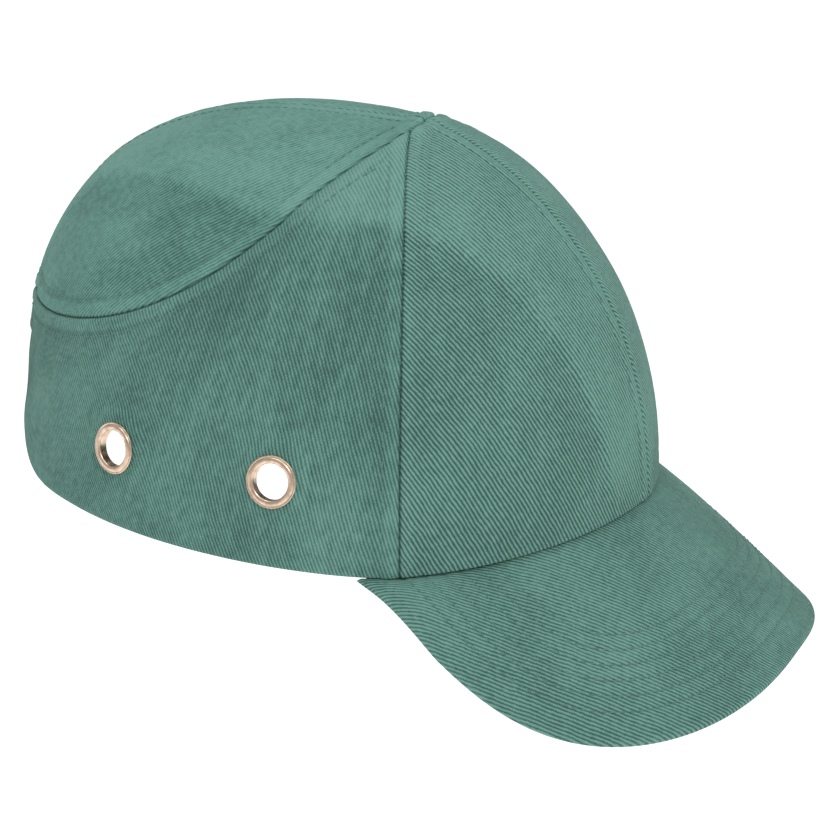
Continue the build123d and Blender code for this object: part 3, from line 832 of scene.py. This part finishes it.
def build_panel(name, places, seams, edges, material, holes=False):
    """A right-hand panel and its mirror image, with sewn seams and turned edges."""
    base, normals = crown(places), outwards(places)
    resting = lift(base)
    relief = np.zeros(base.shape[:2])
    # The cloth gets lighter towards the rear
    faded = smooth((base[..., 1] - REAR_LIGHTENING_START) / REAR_LIGHTENING_LENGTH)
    # Painted light on the band's raised mark, where the stretched cloth faces up to the lamps,
    # together with some wear
    tone = CLOTH_TONE + BAND_LIGHT_AND_WEAR_TONE * band_mark(base) + REAR_LIGHTENING_TONE * faded
    for number, (line, rows, raise_by, folds) in enumerate(seams):
        distance, along = distance_to(crown(line), base)
        relief += seam_relief(distance, rows, raise_by)
        relief += folds * pucker(distance, along, number + len(name))
        tone += 0.16 * smooth(distance) * (1 - smooth((distance - ALLOWANCE + 1) / 1.2))
        # Painted shade, with some dirt, in the seam's groove and in the dents of its stitch rows
        tone -= 0.35 * bell(distance / 0.35)
        for row in rows:
            tone -= 0.10 * bell((distance - row) / 0.5)
    turned = np.zeros_like(relief)
    for line in edges:
        distance, along = distance_to(crown(line), base)
        turned += rolled_edge(distance)
        relief += 0.12 * bell((distance - 1.6) / 1.2) - 0.1 * bell((distance - 9.0) / 1.0)
        tone += 0.12 * bell(distance / 1.1)
    keep, radii = None, []
    if holes:
        flat, radii = flattened(base)
        resting = resting + flat
        relief *= smooth((np.minimum(radii[0][0], radii[1][0]) - EYELET_FLANGE) / 6)
        centre = [(r[:-1, :-1] + r[1:, 1:]) / 2 for r, _ in radii]
        keep = (centre[0] > EYELET_HOLE) & (centre[1] > EYELET_HOLE)
    outer = base + normals * (resting + np.maximum(relief, -0.9) - turned)[..., None]
    inner = base + normals * (resting - FABRIC + np.minimum(turned, 0.55))[..., None]
    if holes:
        snap_holes(outer, radii, keep)
        snap_holes(inner, radii, keep)
    weave = thread_coordinates(base)
    flip = np.array([-1.0, 1.0, 1.0])
    pieces = []
    for side, sign in (("right", np.ones(3)), ("left", flip)):
        made = sheet_object(f"{name}_{side}_cloth", outer * sign, inner * sign,
                            np.clip(tone, 0, 1), keep, weave * sign)
        dress(made, material, "cap")
        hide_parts(f"{name}_{side}")
        pieces.append(made)
    return pieces, base


def row_run(line, height):
    """Points and normals of a stitch row at a height on the cloth, from places."""
    places = evenly(line, np.linspace(0, 1, max(8, int(length_of(line) / 1.5))))
    return cloth(places, height), outwards(places)


top_ahead = centre_ahead(TOP_SEAM_FORWARD)
SEAM = front_side_seam()
FRONT_CENTRE = centre_line(abs(rim(np.array([0.0]))[0]), top_ahead)
APEX_AZIMUTH = np.angle(SEAM[-1])
REAR_AZIMUTH = np.pi - 1e-4


def spread_azimuths(count, start=APEX_AZIMUTH, end=REAR_AZIMUTH):
    return start + (end - start) * np.linspace(0, 1, count) ** 1.5


CROWN_SEAM = side_crown_seam(spread_azimuths(260))
TOP_SEAM = np.linspace(FRONT_CENTRE[-1], SEAM[-1], 40)
CROWN_CENTRE = centre_line(top_ahead, -abs(CROWN_SEAM[-1]))


def front_panels():
    s = graded(length_of(rim(np.linspace(0, np.angle(SEAM[0]), 60))))
    t = graded(length_of(SEAM))
    bottom = evenly(rim(np.linspace(1e-5, np.angle(SEAM[0]), 200)), s)
    top = evenly(TOP_SEAM, s)
    places = coons(bottom, top, evenly(FRONT_CENTRE, t), evenly(SEAM, t), s, t)
    seams = [
        (SEAM, (4.3, 7.2), 0.3, 0.8),
        (FRONT_CENTRE, (5.0,), 0.5, 0.5),
        (TOP_SEAM, (5.0,), 0.8, 0.3),
    ]
    return build_panel("front_panel", places, seams, [bottom], FRONT_TWILL)


def side_panels():
    foot = place_across(np.array([ARCH_HALF_WIDTH + ARCH_FLARE]), np.array([ARCH_FOOT]))
    along_rim = rim(np.linspace(np.angle(SEAM[0]), np.angle(foot[0]), 200))
    line = np.concatenate([along_rim, arch_line(0.0, 0.5)[1:]])
    s = graded(length_of(line))
    t = graded(110.0)
    bottom = evenly(line, s)
    azimuths = np.unwrap(np.angle(bottom))
    share = (azimuths - azimuths[0]) / (azimuths[-1] - azimuths[0])
    top = side_crown_seam(APEX_AZIMUTH + (REAR_AZIMUTH - APEX_AZIMUTH) * share ** 1.5)
    rear = np.linspace(bottom[-1], top[-1], 60)
    places = coons(bottom, top, evenly(SEAM, t), evenly(rear, t), s, t)
    seams = [
        (SEAM, (), 0.5, 1.0),
        (CROWN_SEAM, (5.0,), 0.45, 1.0),
        (rear, (5.0,), 0.3, 0.4),
    ]
    return build_panel("side_panel", places, seams, [bottom], SIDE_TWILL, holes=True)


def crown_panels():
    corner = math.radians(140)
    side = side_crown_seam(spread_azimuths(240, end=corner))
    back = side_crown_seam(np.linspace(REAR_AZIMUTH, corner, 80))
    s = graded(length_of(back))
    t = graded(length_of(CROWN_CENTRE))
    places = coons(evenly(TOP_SEAM, s), evenly(back, s), evenly(CROWN_CENTRE, t),
                   evenly(side, t), s, t)
    seams = [
        (CROWN_SEAM, (5.0,), 0.45, 1.0),
        (CROWN_CENTRE, (5.0,), 0.4, 0.6),
        (TOP_SEAM, (), 0.7, 0.3),
    ]
    return build_panel("crown_panel", places, seams, [], CROWN_TWILL)


def declare_panels(made):
    """Works out the length of each panel's cloth from edge to edge; nothing uses it."""
    pieces, base = made
    length = max(travelled(column)[-1] for column in base.transpose(1, 0, 2)[::12]) * MM


for panels in (front_panels(), side_panels(), crown_panels()):
    declare_panels(panels)


# ---- visor -----------------------------------------------------------------------------------

def visor_sheet(forward, side):
    fall = (forward - FRONT_LENGTH) * math.tan(VISOR_SLOPE)
    return VISOR_ROOT_HEIGHT - fall - (VISOR_ARCH - np.sqrt(VISOR_ARCH ** 2 - side ** 2))


def visor_tip_azimuth():
    def ahead(azimuth):
        return VISOR_TIP_FORWARD + VISOR_TIP_WIDTH + crown(rim(azimuth))[..., 1]

    return float(solve(ahead, np.array([math.radians(20)]), np.array([math.radians(100)]))[0])


VISOR_TIP = visor_tip_azimuth()


def visor_root(t):
    """Inner edge as (forward, side, height); t is 0 at the centre and 1 at the tip."""
    places = rim(VISOR_TIP * t + 1e-6)
    points = crown(places) - outwards(places) * VISOR_ROOT_DEPTH
    return -points[:, 1], -points[:, 0], points[:, 2] - VISOR_UNDER_RIM


def visor_edge(t):
    """Outer edge as (forward, side) and how far it drops below the arched sheet."""
    turn = np.minimum(t / VISOR_CORNER, 1) * np.pi / 2
    cosine, sine = np.maximum(np.cos(turn), 0), np.sin(turn)
    radius = (cosine ** VISOR_ROUNDNESS + sine ** VISOR_ROUNDNESS) ** (-1 / VISOR_ROUNDNESS)
    along = (VISOR_REACH + VISOR_BACK) * radius * cosine - VISOR_BACK
    forward, side = FRONT_LENGTH + along * math.cos(VISOR_SLOPE), VISOR_HALF_WIDTH * radius * sine
    back = np.clip((t - VISOR_CORNER) / (1 - VISOR_CORNER), 0, 1)
    corner = FRONT_LENGTH - VISOR_BACK * math.cos(VISOR_SLOPE)
    forward = np.where(back > 0, corner + (VISOR_TIP_FORWARD - corner) * back, forward)
    swept = VISOR_HALF_WIDTH + (VISOR_TIP_HALF_WIDTH - VISOR_HALF_WIDTH) * back ** 1.5
    side = np.where(back > 0, swept, side)
    tip_drop = visor_root(np.array([1.0]))[2][0] - visor_sheet(VISOR_TIP_FORWARD, VISOR_TIP_HALF_WIDTH)
    return forward, side, tip_drop * back ** 2


def visor_grid(t, s):
    """Top surface of the visor; t runs from the left tip at -1 to the right tip at 1."""
    root_forward, root_side, root_height = visor_root(np.abs(t))
    edge_forward, edge_side, edge_drop = visor_edge(np.abs(t))
    forward = root_forward + (edge_forward - root_forward) * s
    side = root_side + (edge_side - root_side) * s
    near = np.maximum(1 - s, 0) ** 2
    root_drop = root_height - visor_sheet(root_forward, root_side)
    height = visor_sheet(forward, side) + root_drop * near + edge_drop * (1 - near)
    return np.stack([np.where(t > 0, -side, side), -forward, height], -1)


def visor_tuck(t):
    """Rows of the top cover that run up behind the crown's lower edge."""
    rows = []
    for above in (4.5, 3.0, 1.5, 0.6):
        places = rim(VISOR_TIP * np.abs(t) + 1e-6, above)
        points = crown(places) - outwards(places) * 1.75
        rows.append(points * np.stack([np.where(t > 0, 1.0, -1.0), 0 * t + 1, 0 * t + 1], -1))
    return np.array(rows)


def grid_normals(points, upwards):
    along = np.gradient(points, axis=1)
    across = np.gradient(points, axis=0)
    normals = unit(np.cross(along, across))
    if normals[..., 2].mean() * upwards < 0:
        normals = -normals
    return normals


def visor_covers():
    """Top and under covers of twill, turned round the board's edge and quilted in rows."""
    half = np.linspace(0, 1, 125)
    t = np.concatenate([-half[::-1], half[1:]])
    s = graded(72.0, start=False)[:, None] + 0 * t
    width = np.linalg.norm(np.diff(visor_grid(t, s[[0, -1]]), axis=0)[0], axis=1)
    s = s * (1 + VISOR_PROUD / width)
    surface = np.concatenate([visor_tuck(t), visor_grid(t, s)])
    first = len(surface) - len(s)
    normals = grid_normals(surface, 1)
    edge = surface[-1]
    distance, along = distance_to(edge, surface)
    to_tip = np.minimum(along, travelled(edge)[-1] - along)
    thick = VISOR_THICKNESS * (0.35 + 0.65 * smooth(to_tip / 9.0))
    roll = rolled_edge(distance, VISOR_ROLL) * thick / VISOR_THICKNESS
    quilt = np.zeros_like(distance)
    for row in VISOR_ROWS:
        quilt -= 0.30 * bell((distance - row) / 0.55)
    between = (distance > VISOR_ROWS[0]) & (distance < VISOR_ROWS[-1])
    quilt += np.where(between, 0.1, 0.0)
    slack = 0.22 * speckle(surface, 26.0, 3.7) + 0.07 * speckle(surface, 7.0, 9.2)
    wave = slack * smooth(distance / 6)
    tone = 0.44 + 0.10 * bell(distance / 1.6) - 0.12 * bell((distance - 3.0) / 1.0)
    # Painted shade, with some dirt, in the dents of the quilting rows
    for row in VISOR_ROWS:
        tone -= 0.07 * bell((distance - row) / 0.6)
    # Painted shadow along the visor's root, under the crown's lower edge
    root_distance, _ = distance_to(surface[first], surface)
    tone -= 0.3 * bell(root_distance / 1.6)
    weave = thread_coordinates(surface)
    weave[..., 0] = VISOR_ARCH * np.arcsin(surface[..., 0] / VISOR_ARCH) * MM
    weave[..., 1] = -surface[..., 1] * MM / math.cos(VISOR_SLOPE)
    middle = thick / 2
    top_out = -roll + quilt + wave
    top_in = np.maximum(np.minimum(top_out - 0.03, -roll - VISOR_COVER), -middle + 0.01)
    top_in = np.minimum(top_in, top_out - 0.02)
    under_out = -thick + roll - quilt + 0.5 * wave
    under_in = np.minimum(np.maximum(under_out + 0.03, -thick + roll + VISOR_COVER),
                          -middle - 0.01)
    under_in = np.maximum(under_in, under_out + 0.02)
    sheets = (
        ("visor_top_cloth", "visor_top_cover", top_out, top_in, 0),
        ("visor_under_cloth", "visor_under_cover", under_out, under_in, first),
    )
    for name, node, out, into, start in sheets:
        made = sheet_object(name, (surface + normals * out[..., None])[start:],
                            (surface + normals * into[..., None])[start:],
                            np.clip(tone, 0, 1)[start:], None, weave[start:])
        dress(made, VISOR_TWILL, "cap")
        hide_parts(node)
    runs = []
    for row in VISOR_ROWS:
        line, normal = [], []
        lifted = surface + normals * (quilt + wave)[..., None]
        for column in range(surface.shape[1]):
            gaps = distance[first:, column]
            if gaps[0] < row + 1.0:
                continue
            share = np.interp(-row, -gaps, np.arange(len(gaps)))
            low = int(share)
            part = share - low
            high = min(low + 1, len(gaps) - 1) + first
            low += first
            line.append(lifted[low, column] * (1 - part) + lifted[high, column] * part)
            normal.append(normals[low, column])
        if len(line) > 8:
            line, normal = np.array(line), np.array(normal)
            runs.append((line + normal * 0.02, normal))
            runs.append((line - normal * (VISOR_THICKNESS - 0.35), -normal))
    made = stitch_mesh("visor_stitching", runs)
    dress(made, THREAD_GREEN, "cap")


visor_covers()


# ---- stitch rows on the crown ----------------------------------------------------------------

def crown_stitching():
    """Topstitching beside the seams, on both halves."""
    ahead = abs(rim(np.array([0.0]))[0])
    right = [
        (front_side_seam(-5.0), 0.06),
        (front_side_seam(-8.2), -0.2),
        (centre_line(ahead - 0.01, top_ahead + 0.03, 5.0), 0.1),
        (centre_line(top_ahead - 0.005, -abs(CROWN_SEAM[-1]) + 0.03, 5.0), 0.05),
        (side_crown_seam(spread_azimuths(260, start=APEX_AZIMUTH + 0.25), 6.0), 0.05),
        (side_crown_seam(spread_azimuths(260, start=APEX_AZIMUTH + 0.1), -6.0), 0.05),
    ]
    runs = []
    for line, height in right:
        points, normals = row_run(line, height)
        runs.append((points, normals))
        runs.append((points * [-1, 1, 1], normals * [-1, 1, 1]))
    made = stitch_mesh("crown_stitching", runs)
    dress(made, THREAD_GREEN, "cap")


crown_stitching()


# ---- strips of tape, band and strap ----------------------------------------------------------

def strip(name, nodes, low, high, depth, thickness, material, slot, body="cap", rows=14, curve=0.0):
    """A thick ribbon inside the crown between two lines of places, with rounded edges."""
    across = np.linspace(0, 1, rows + 1)
    across = 0.5 - 0.5 * np.cos(np.pi * across)
    places = ruled(low, high, across)
    base, normals = crown(places), outwards(places)
    width = np.linalg.norm(base[-1] - base[0], axis=-1).mean()
    edge = np.minimum(across, 1 - across)[:, None] * width + np.zeros(base.shape[:2])
    turned = rolled_edge(edge, thickness * 0.45)
    swell = curve * np.sin(np.pi * across)[:, None]
    deep = depth(base) if callable(depth) else depth
    resting = lift(base)
    outer = base + normals * (resting - deep - turned)[..., None]
    inner = base + normals * (resting - deep - thickness + turned - swell)[..., None]
    made = sheet_object(name, outer, inner)
    dress(made, material, body)
    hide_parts(*nodes)
    return made


def both(name, node, low, high, *rest, **more):
    strip(f"{name}_right", [f"{node}_right"], low, high, *rest, **more)
    strip(f"{name}_left", [f"{node}_left"], np.conj(low), np.conj(high), *rest, **more)


TAPE_DEPTH, TAPE, TAPE_HALF = 1.35, 0.6, 4.0
TAPE_SPAN = slice(6, -18)


def tapes():
    front = centre_line(abs(rim(np.array([0.0]), 1.0)[0]), centre_ahead(24.0), TAPE_HALF)
    strip("front_centre_binding", ["front_centre_tape"], front, np.conj(front),
          TAPE_DEPTH, TAPE, LINING, "seam_tape")
    rear = centre_line(-0.06, -abs(CROWN_SEAM[-1]) + 0.06, TAPE_HALF)
    strip("crown_centre_binding", ["crown_centre_tape"], rear, np.conj(rear),
          TAPE_DEPTH, TAPE, LINING, "seam_tape")
    both("front_side_binding", "front_side_tape", front_side_seam(TAPE_HALF)[TAPE_SPAN],
         front_side_seam(-TAPE_HALF)[TAPE_SPAN], TAPE_DEPTH, TAPE, LINING, "seam_tape")
    azimuths = np.radians(np.linspace(106, 176, 120))
    both("crown_side_binding", "crown_side_tape", side_crown_seam(azimuths, TAPE_HALF),
         side_crown_seam(azimuths, -TAPE_HALF), TAPE_DEPTH, TAPE, LINING, "seam_tape")
    fractions = np.linspace(0.03, 0.97, 220)
    strip("arch_edge_binding", ["arch_binding"], evenly(arch_line(0.2), fractions),
          evenly(arch_line(6.0), fractions), TAPE_DEPTH, TAPE, LINING, "seam_tape")


tapes()


def sweatband():
    """Soft band round the opening, with a stitched fold along its top."""
    end = float(np.angle(place_across(np.array([58.0]), np.array([20.0]))[0]))
    azimuths = np.linspace(-end, end, 420)
    towards_front = np.maximum(0, np.cos(azimuths)) ** 2
    low = rim(azimuths, 0.6)
    high = rim(azimuths, 15.5 + 6.5 * towards_front)
    strip("sweatband_cloth", ["sweatband"], low, high, 2.1, 1.5, BAND_CLOTH, "sweatband",
          rows=26, curve=0.5)
    runs = []
    for share in (0.12, 0.9):
        places = low + (high - low) * share
        points = crown(places)
        normals = outwards(places)
        depth = lift(points) - 2.1 - 1.55 - 0.5 * math.sin(math.pi * share)
        runs.append((points + normals * depth[:, None], -normals))
    dress(stitch_mesh("sweatband_stitching", runs), THREAD_GREEN, "cap")


sweatband()


# ---- rear strap ------------------------------------------------------------------------------

STRAP_LOW, STRAP_HIGH = 15.0, 35.0
STRAP_DEPTH, STRAP = 2.1, 1.0


def strap_lines(start, end, margin=0.0, count=90):
    """Lower and upper edge across the arch; sideways positions grow to the wearer's left."""
    side = -np.linspace(start, end, count)
    return (place_across(side, np.full(count, STRAP_LOW + margin)),
            place_across(side, np.full(count, STRAP_HIGH - margin)))


def loop_strap_depth(points):
    """The strap leaves the fabric and passes under the tab."""
    return STRAP_DEPTH + (4.5 - STRAP_DEPTH) * smooth((44.0 - points[..., 0]) / 20.0)


def strap_stitches(name, start, end, depth, body):
    runs = []
    for margin in (2.2, 17.8):
        side = -np.linspace(start + 1, end - 2.2, 60)
        places = place_across(side, np.full(60, STRAP_LOW + margin))
        points, normals = crown(places), outwards(places)
        deep = depth(points) if callable(depth) else depth
        runs.append((points + normals * (lift(points) - deep + 0.02)[:, None], normals))
    made = stitch_mesh(name, runs)
    return dress(made, THREAD_GREEN, body)


def rear_strap():
    """A tab that peels off at the right, closed on a strap from the left."""
    low, high = strap_lines(-56.0, 14.0, count=150)
    tab = strip("strap_tab_cloth", ["strap_anchor", "strap_tab"], low, high, STRAP_DEPTH, STRAP,
                STRAP_CLOTH, "strap", body=None)
    stitched = strap_stitches("strap_tab_stitching", -55.0, 14.0, STRAP_DEPTH, None)
    for piece in (tab, stitched):
        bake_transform(piece)
    hook_depth = STRAP_DEPTH + STRAP + 0.05
    low, high = strap_lines(-20.0, 12.0, 2.0)
    strip("hook_field", ["hook_patch"], low, high, hook_depth, 0.5, HOOKS, "hook_and_loop",
          body="strap_tab")
    low, high = strap_lines(-22.0, 56.0, count=150)
    strip("loop_strap_cloth", ["loop_strap"], low, high, loop_strap_depth, STRAP, STRAP_CLOTH,
          "strap")
    strap_stitches("loop_strap_stitching", 15.0, 55.0, loop_strap_depth, "cap")
    low, high = strap_lines(-20.0, 20.0, 2.0)
    strip("loop_field", ["loop_patch"], low, high, hook_depth + 0.8, 0.5, LOOPS, "hook_and_loop")


rear_strap()


# ---- eyelets ---------------------------------------------------------------------------------

def turned_ring(name, profile, centre, axis, node, count=96):
    """A closed ring made by turning a closed outline of (radius, height) about an axis."""
    radius, height = np.array(profile).T
    turn = np.arange(count) * 2 * np.pi / count
    side = unit(np.cross(axis, [0, 0, 1.0]))
    up = np.cross(side, axis)
    around = np.cos(turn)[:, None] * side + np.sin(turn)[:, None] * up
    points = centre + around[:, None] * radius[None, :, None] + axis * height[None, :, None]
    size = len(radius)
    index = np.arange(count * size).reshape(count, size)
    over = np.roll(index, -1, axis=0)
    faces = np.stack([index, np.roll(index, -1, 1), np.roll(over, -1, 1), over], -1).reshape(-1, 4)
    points = points.reshape(-1, 3)
    made = make_mesh(name, points, facing_out(points, faces), sharp=60)
    dress(made, METAL, "cap")
    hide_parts(node)
    return made


def eyelet_profile():
    """Rolled flange, rounded over from the bore to the cloth, and the barrel below it."""
    wall = EYELET_BORE + 0.4
    turn = np.linspace(np.pi, 0.25, 20)
    crest = EYELET_FLANGE - 0.55
    middle, half = (EYELET_BORE + crest) / 2, (crest - EYELET_BORE) / 2
    dome = [(middle + half * np.cos(a), 0.22 + EYELET_PROUD * np.sin(a) ** 0.8) for a in turn]
    lip = np.linspace(2.4, -0.6, 8)
    bead = [(EYELET_FLANGE - 0.27 + 0.27 * np.cos(a), 0.3 + 0.27 * np.sin(a)) for a in lip]
    dome += bead
    tail = -EYELET_LENGTH + 1.0
    barrel = [(EYELET_FLANGE - 0.35, -0.03), (wall + 0.2, -0.02), (wall, -0.25), (wall, tail),
              (EYELET_BORE + 0.02, tail), (EYELET_BORE, tail + 0.2)]
    return dome + barrel


def washer_profile():
    turn = np.linspace(0, np.pi, 10)
    outer, inner, deep, thick = EYELET_FLANGE - 0.2, EYELET_BORE + 0.43, 1.62, 0.5
    middle, half = (outer + inner) / 2, (outer - inner) / 2
    bulge = [(middle + half * np.cos(a), -deep - thick - 0.25 * np.sin(a)) for a in turn]
    return [(inner, -deep), (outer, -deep)] + bulge


def metal_rings():
    for key in EYELETS:
        centre, axis = eyelet_axis(key)
        for side, sign in (("right", np.ones(3)), ("left", np.array([-1.0, 1, 1]))):
            turned_ring(f"grommet_{key}_{side}", eyelet_profile(), centre * sign, axis * sign,
                        f"eyelet_{key}_{side}")
            turned_ring(f"backing_ring_{key}_{side}", washer_profile(), centre * sign, axis * sign,
                        f"washer_{key}_{side}")


metal_rings()


# ---- shell and pads --------------------------------------------------------------------------

PAD_DEPTH, PAD, PAD_ROLL = 7.2, 6.0, 2.6


def pad_object(name, node, places, channels):
    """A foam pad: crowned towards the head, rounded edges, and pressed channels."""
    base, normals = crown(places), outwards(places)
    border = np.concatenate([base[0], base[1:, -1], base[-1, ::-1][1:], base[::-1, 0][1:]])
    distance, _ = distance_to(border, base)
    turned = rolled_edge(distance, PAD_ROLL)
    crowned = 0.9 * smooth(distance / 14.0)
    pressed = 1.5 * channels * smooth((distance - 3.0) / 2.0)
    outer = base - normals * (PAD_DEPTH + turned * 0.6)[..., None]
    inner = base - normals * (PAD_DEPTH + PAD - turned - 0.6 + crowned - pressed)[..., None]
    made = sheet_object(name, outer, inner)
    dress(made, FOAM, "insert")
    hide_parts(node)


def wall_pad(name, node, azimuths, heights, columns=110, rows=46):
    """A pad on the wall between azimuths and heights, with rounded corners."""
    u = np.linspace(-1, 1, columns)[None]
    v = np.linspace(-1, 1, rows)[:, None]
    along = u * np.sqrt(1 - 0.10 * v ** 4)
    up = v * np.sqrt(1 - 0.16 * u ** 6)
    azimuth = np.radians(np.mean(azimuths) + along * (azimuths[1] - azimuths[0]) / 2)
    height = np.mean(heights) + up * (heights[1] - heights[0]) / 2
    count = max(2, round((azimuths[1] - azimuths[0]) / 14))
    cell = np.abs((u + 1) / 2 * count % 1 - 0.5) * 2
    channels = bell((1 - cell) * 9) * (np.abs(u) < 1 - 1 / count) + 0 * v
    pad_object(name, node, place_at(azimuth, height), channels)


def top_pad(size=0.42, steps=80):
    u, v = np.meshgrid(np.linspace(-1, 1, steps + 1), np.linspace(-1, 1, steps + 1))
    places = (u * np.sqrt(1 - v ** 2 / 2) + 1j * v * np.sqrt(1 - u ** 2 / 2)) * size
    places = np.where(np.abs(places) < 2e-3, 2e-3 + 0j, places)
    ring = bell((np.abs(places) - size * 0.55) / 0.016)
    cross = bell(places.imag / 0.016) * (np.abs(places) > size * 0.55)
    pad_object("top_foam_pad", "top_pad", places, np.maximum(ring, cross))


# Name, CAD node, azimuths and heights
WALL_PADS = [
    ("front_foam_pad", "front_pad", (-34, 34), (50, 92)),
    ("rear_foam_pad", "rear_pad", (154, 206), (66, 100)),
    ("side_foam_pad_right", "side_pad_right", (62, 122), (60, 92)),
    ("side_foam_pad_left", "side_pad_left", (-122, -62), (60, 92)),
]
for pad in WALL_PADS:
    wall_pad(*pad)
top_pad()

for node, material in (("impact_shell", SHELL_PLASTIC), ("visor_board", BOARD_PLASTIC)):
    solid = frame["nodes"][node]
    for slot in solid.material_slots:
        slot.material = material


# ---- floor, light and camera -----------------------------------------------------------------

FLOOR_HEIGHT = -0.30
FLOOR_SIZE = 60.0


def floor():
    mesh = bpy.data.meshes.new("floor")
    half = FLOOR_SIZE
    corners = [(-half, -half, 0), (half, -half, 0), (half, half, 0), (-half, half, 0)]
    mesh.from_pydata(corners, [], [(0, 1, 2, 3)])
    plane = bpy.data.objects.new("floor", mesh)
    plane.location.z = FLOOR_HEIGHT
    bpy.context.scene.collection.objects.link(plane)
    m = Material("pale_floor", 0.9, Specular_IOR_Level=0.1)
    m.shader.inputs["Base Color"].default_value = (0.93, 0.93, 0.93, 1)
    m.shader.inputs["Emission Color"].default_value = (1, 1, 1, 1)
    m.shader.inputs["Emission Strength"].default_value = 0.5
    plane.data.materials.append(m.material)


def area_light(name, place, target, size, power):
    data = bpy.data.lights.new(name, "AREA")
    data.shape = "DISK"
    data.size = size
    data.energy = power
    lamp = bpy.data.objects.new(name, data)
    lamp.location = place
    lamp.rotation_euler = (Vector(target) - Vector(place)).to_track_quat("-Z", "Y").to_euler()
    bpy.context.scene.collection.objects.link(lamp)


def world():
    made = bpy.data.worlds.new("studio")
    made.use_nodes = True
    background = made.node_tree.nodes["Background"]
    background.inputs["Color"].default_value = (1, 1, 1, 1)
    background.inputs["Strength"].default_value = 0.5
    bpy.context.scene.world = made


# Where the camera stands, as fitted to the cap's outline and seams
CAMERA_AZIMUTH = math.radians(-68.43)
CAMERA_ELEVATION = math.radians(20.91)
CAMERA_ROLL = math.radians(3.22)
CAMERA_DISTANCE = 1.0356
CAMERA_TARGET = Vector((0.0483, 0.0, 0.0094))
CAMERA_LENS = 126.8


def camera():
    data = bpy.data.cameras.new("camera")
    data.lens = CAMERA_LENS
    data.sensor_width = 36.0
    data.clip_end = 200.0
    made = bpy.data.objects.new("camera", data)
    a, e = CAMERA_AZIMUTH, CAMERA_ELEVATION
    back = Vector((math.sin(a) * math.cos(e), -math.cos(a) * math.cos(e), math.sin(e)))
    right = Vector((math.cos(a), math.sin(a), 0))
    up = back.cross(right)
    tilted = right * math.cos(CAMERA_ROLL) + up * math.sin(CAMERA_ROLL)
    upright = up * math.cos(CAMERA_ROLL) - right * math.sin(CAMERA_ROLL)
    axes = Matrix((tilted, upright, back)).transposed()
    made.matrix_world = Matrix.Translation(CAMERA_TARGET + back * CAMERA_DISTANCE) @ axes.to_4x4()
    bpy.context.scene.collection.objects.link(made)
    bpy.context.scene.camera = made


floor()
world()
middle = (0.0, 0.0, 0.06)
area_light("key", (-0.7, -0.9, 1.6), middle, 0.9, 12.5)
area_light("top", (-0.1, 0.3, 1.8), middle, 1.2, 7.0)
camera()
bpy.context.scene.view_settings.view_transform = "Standard"
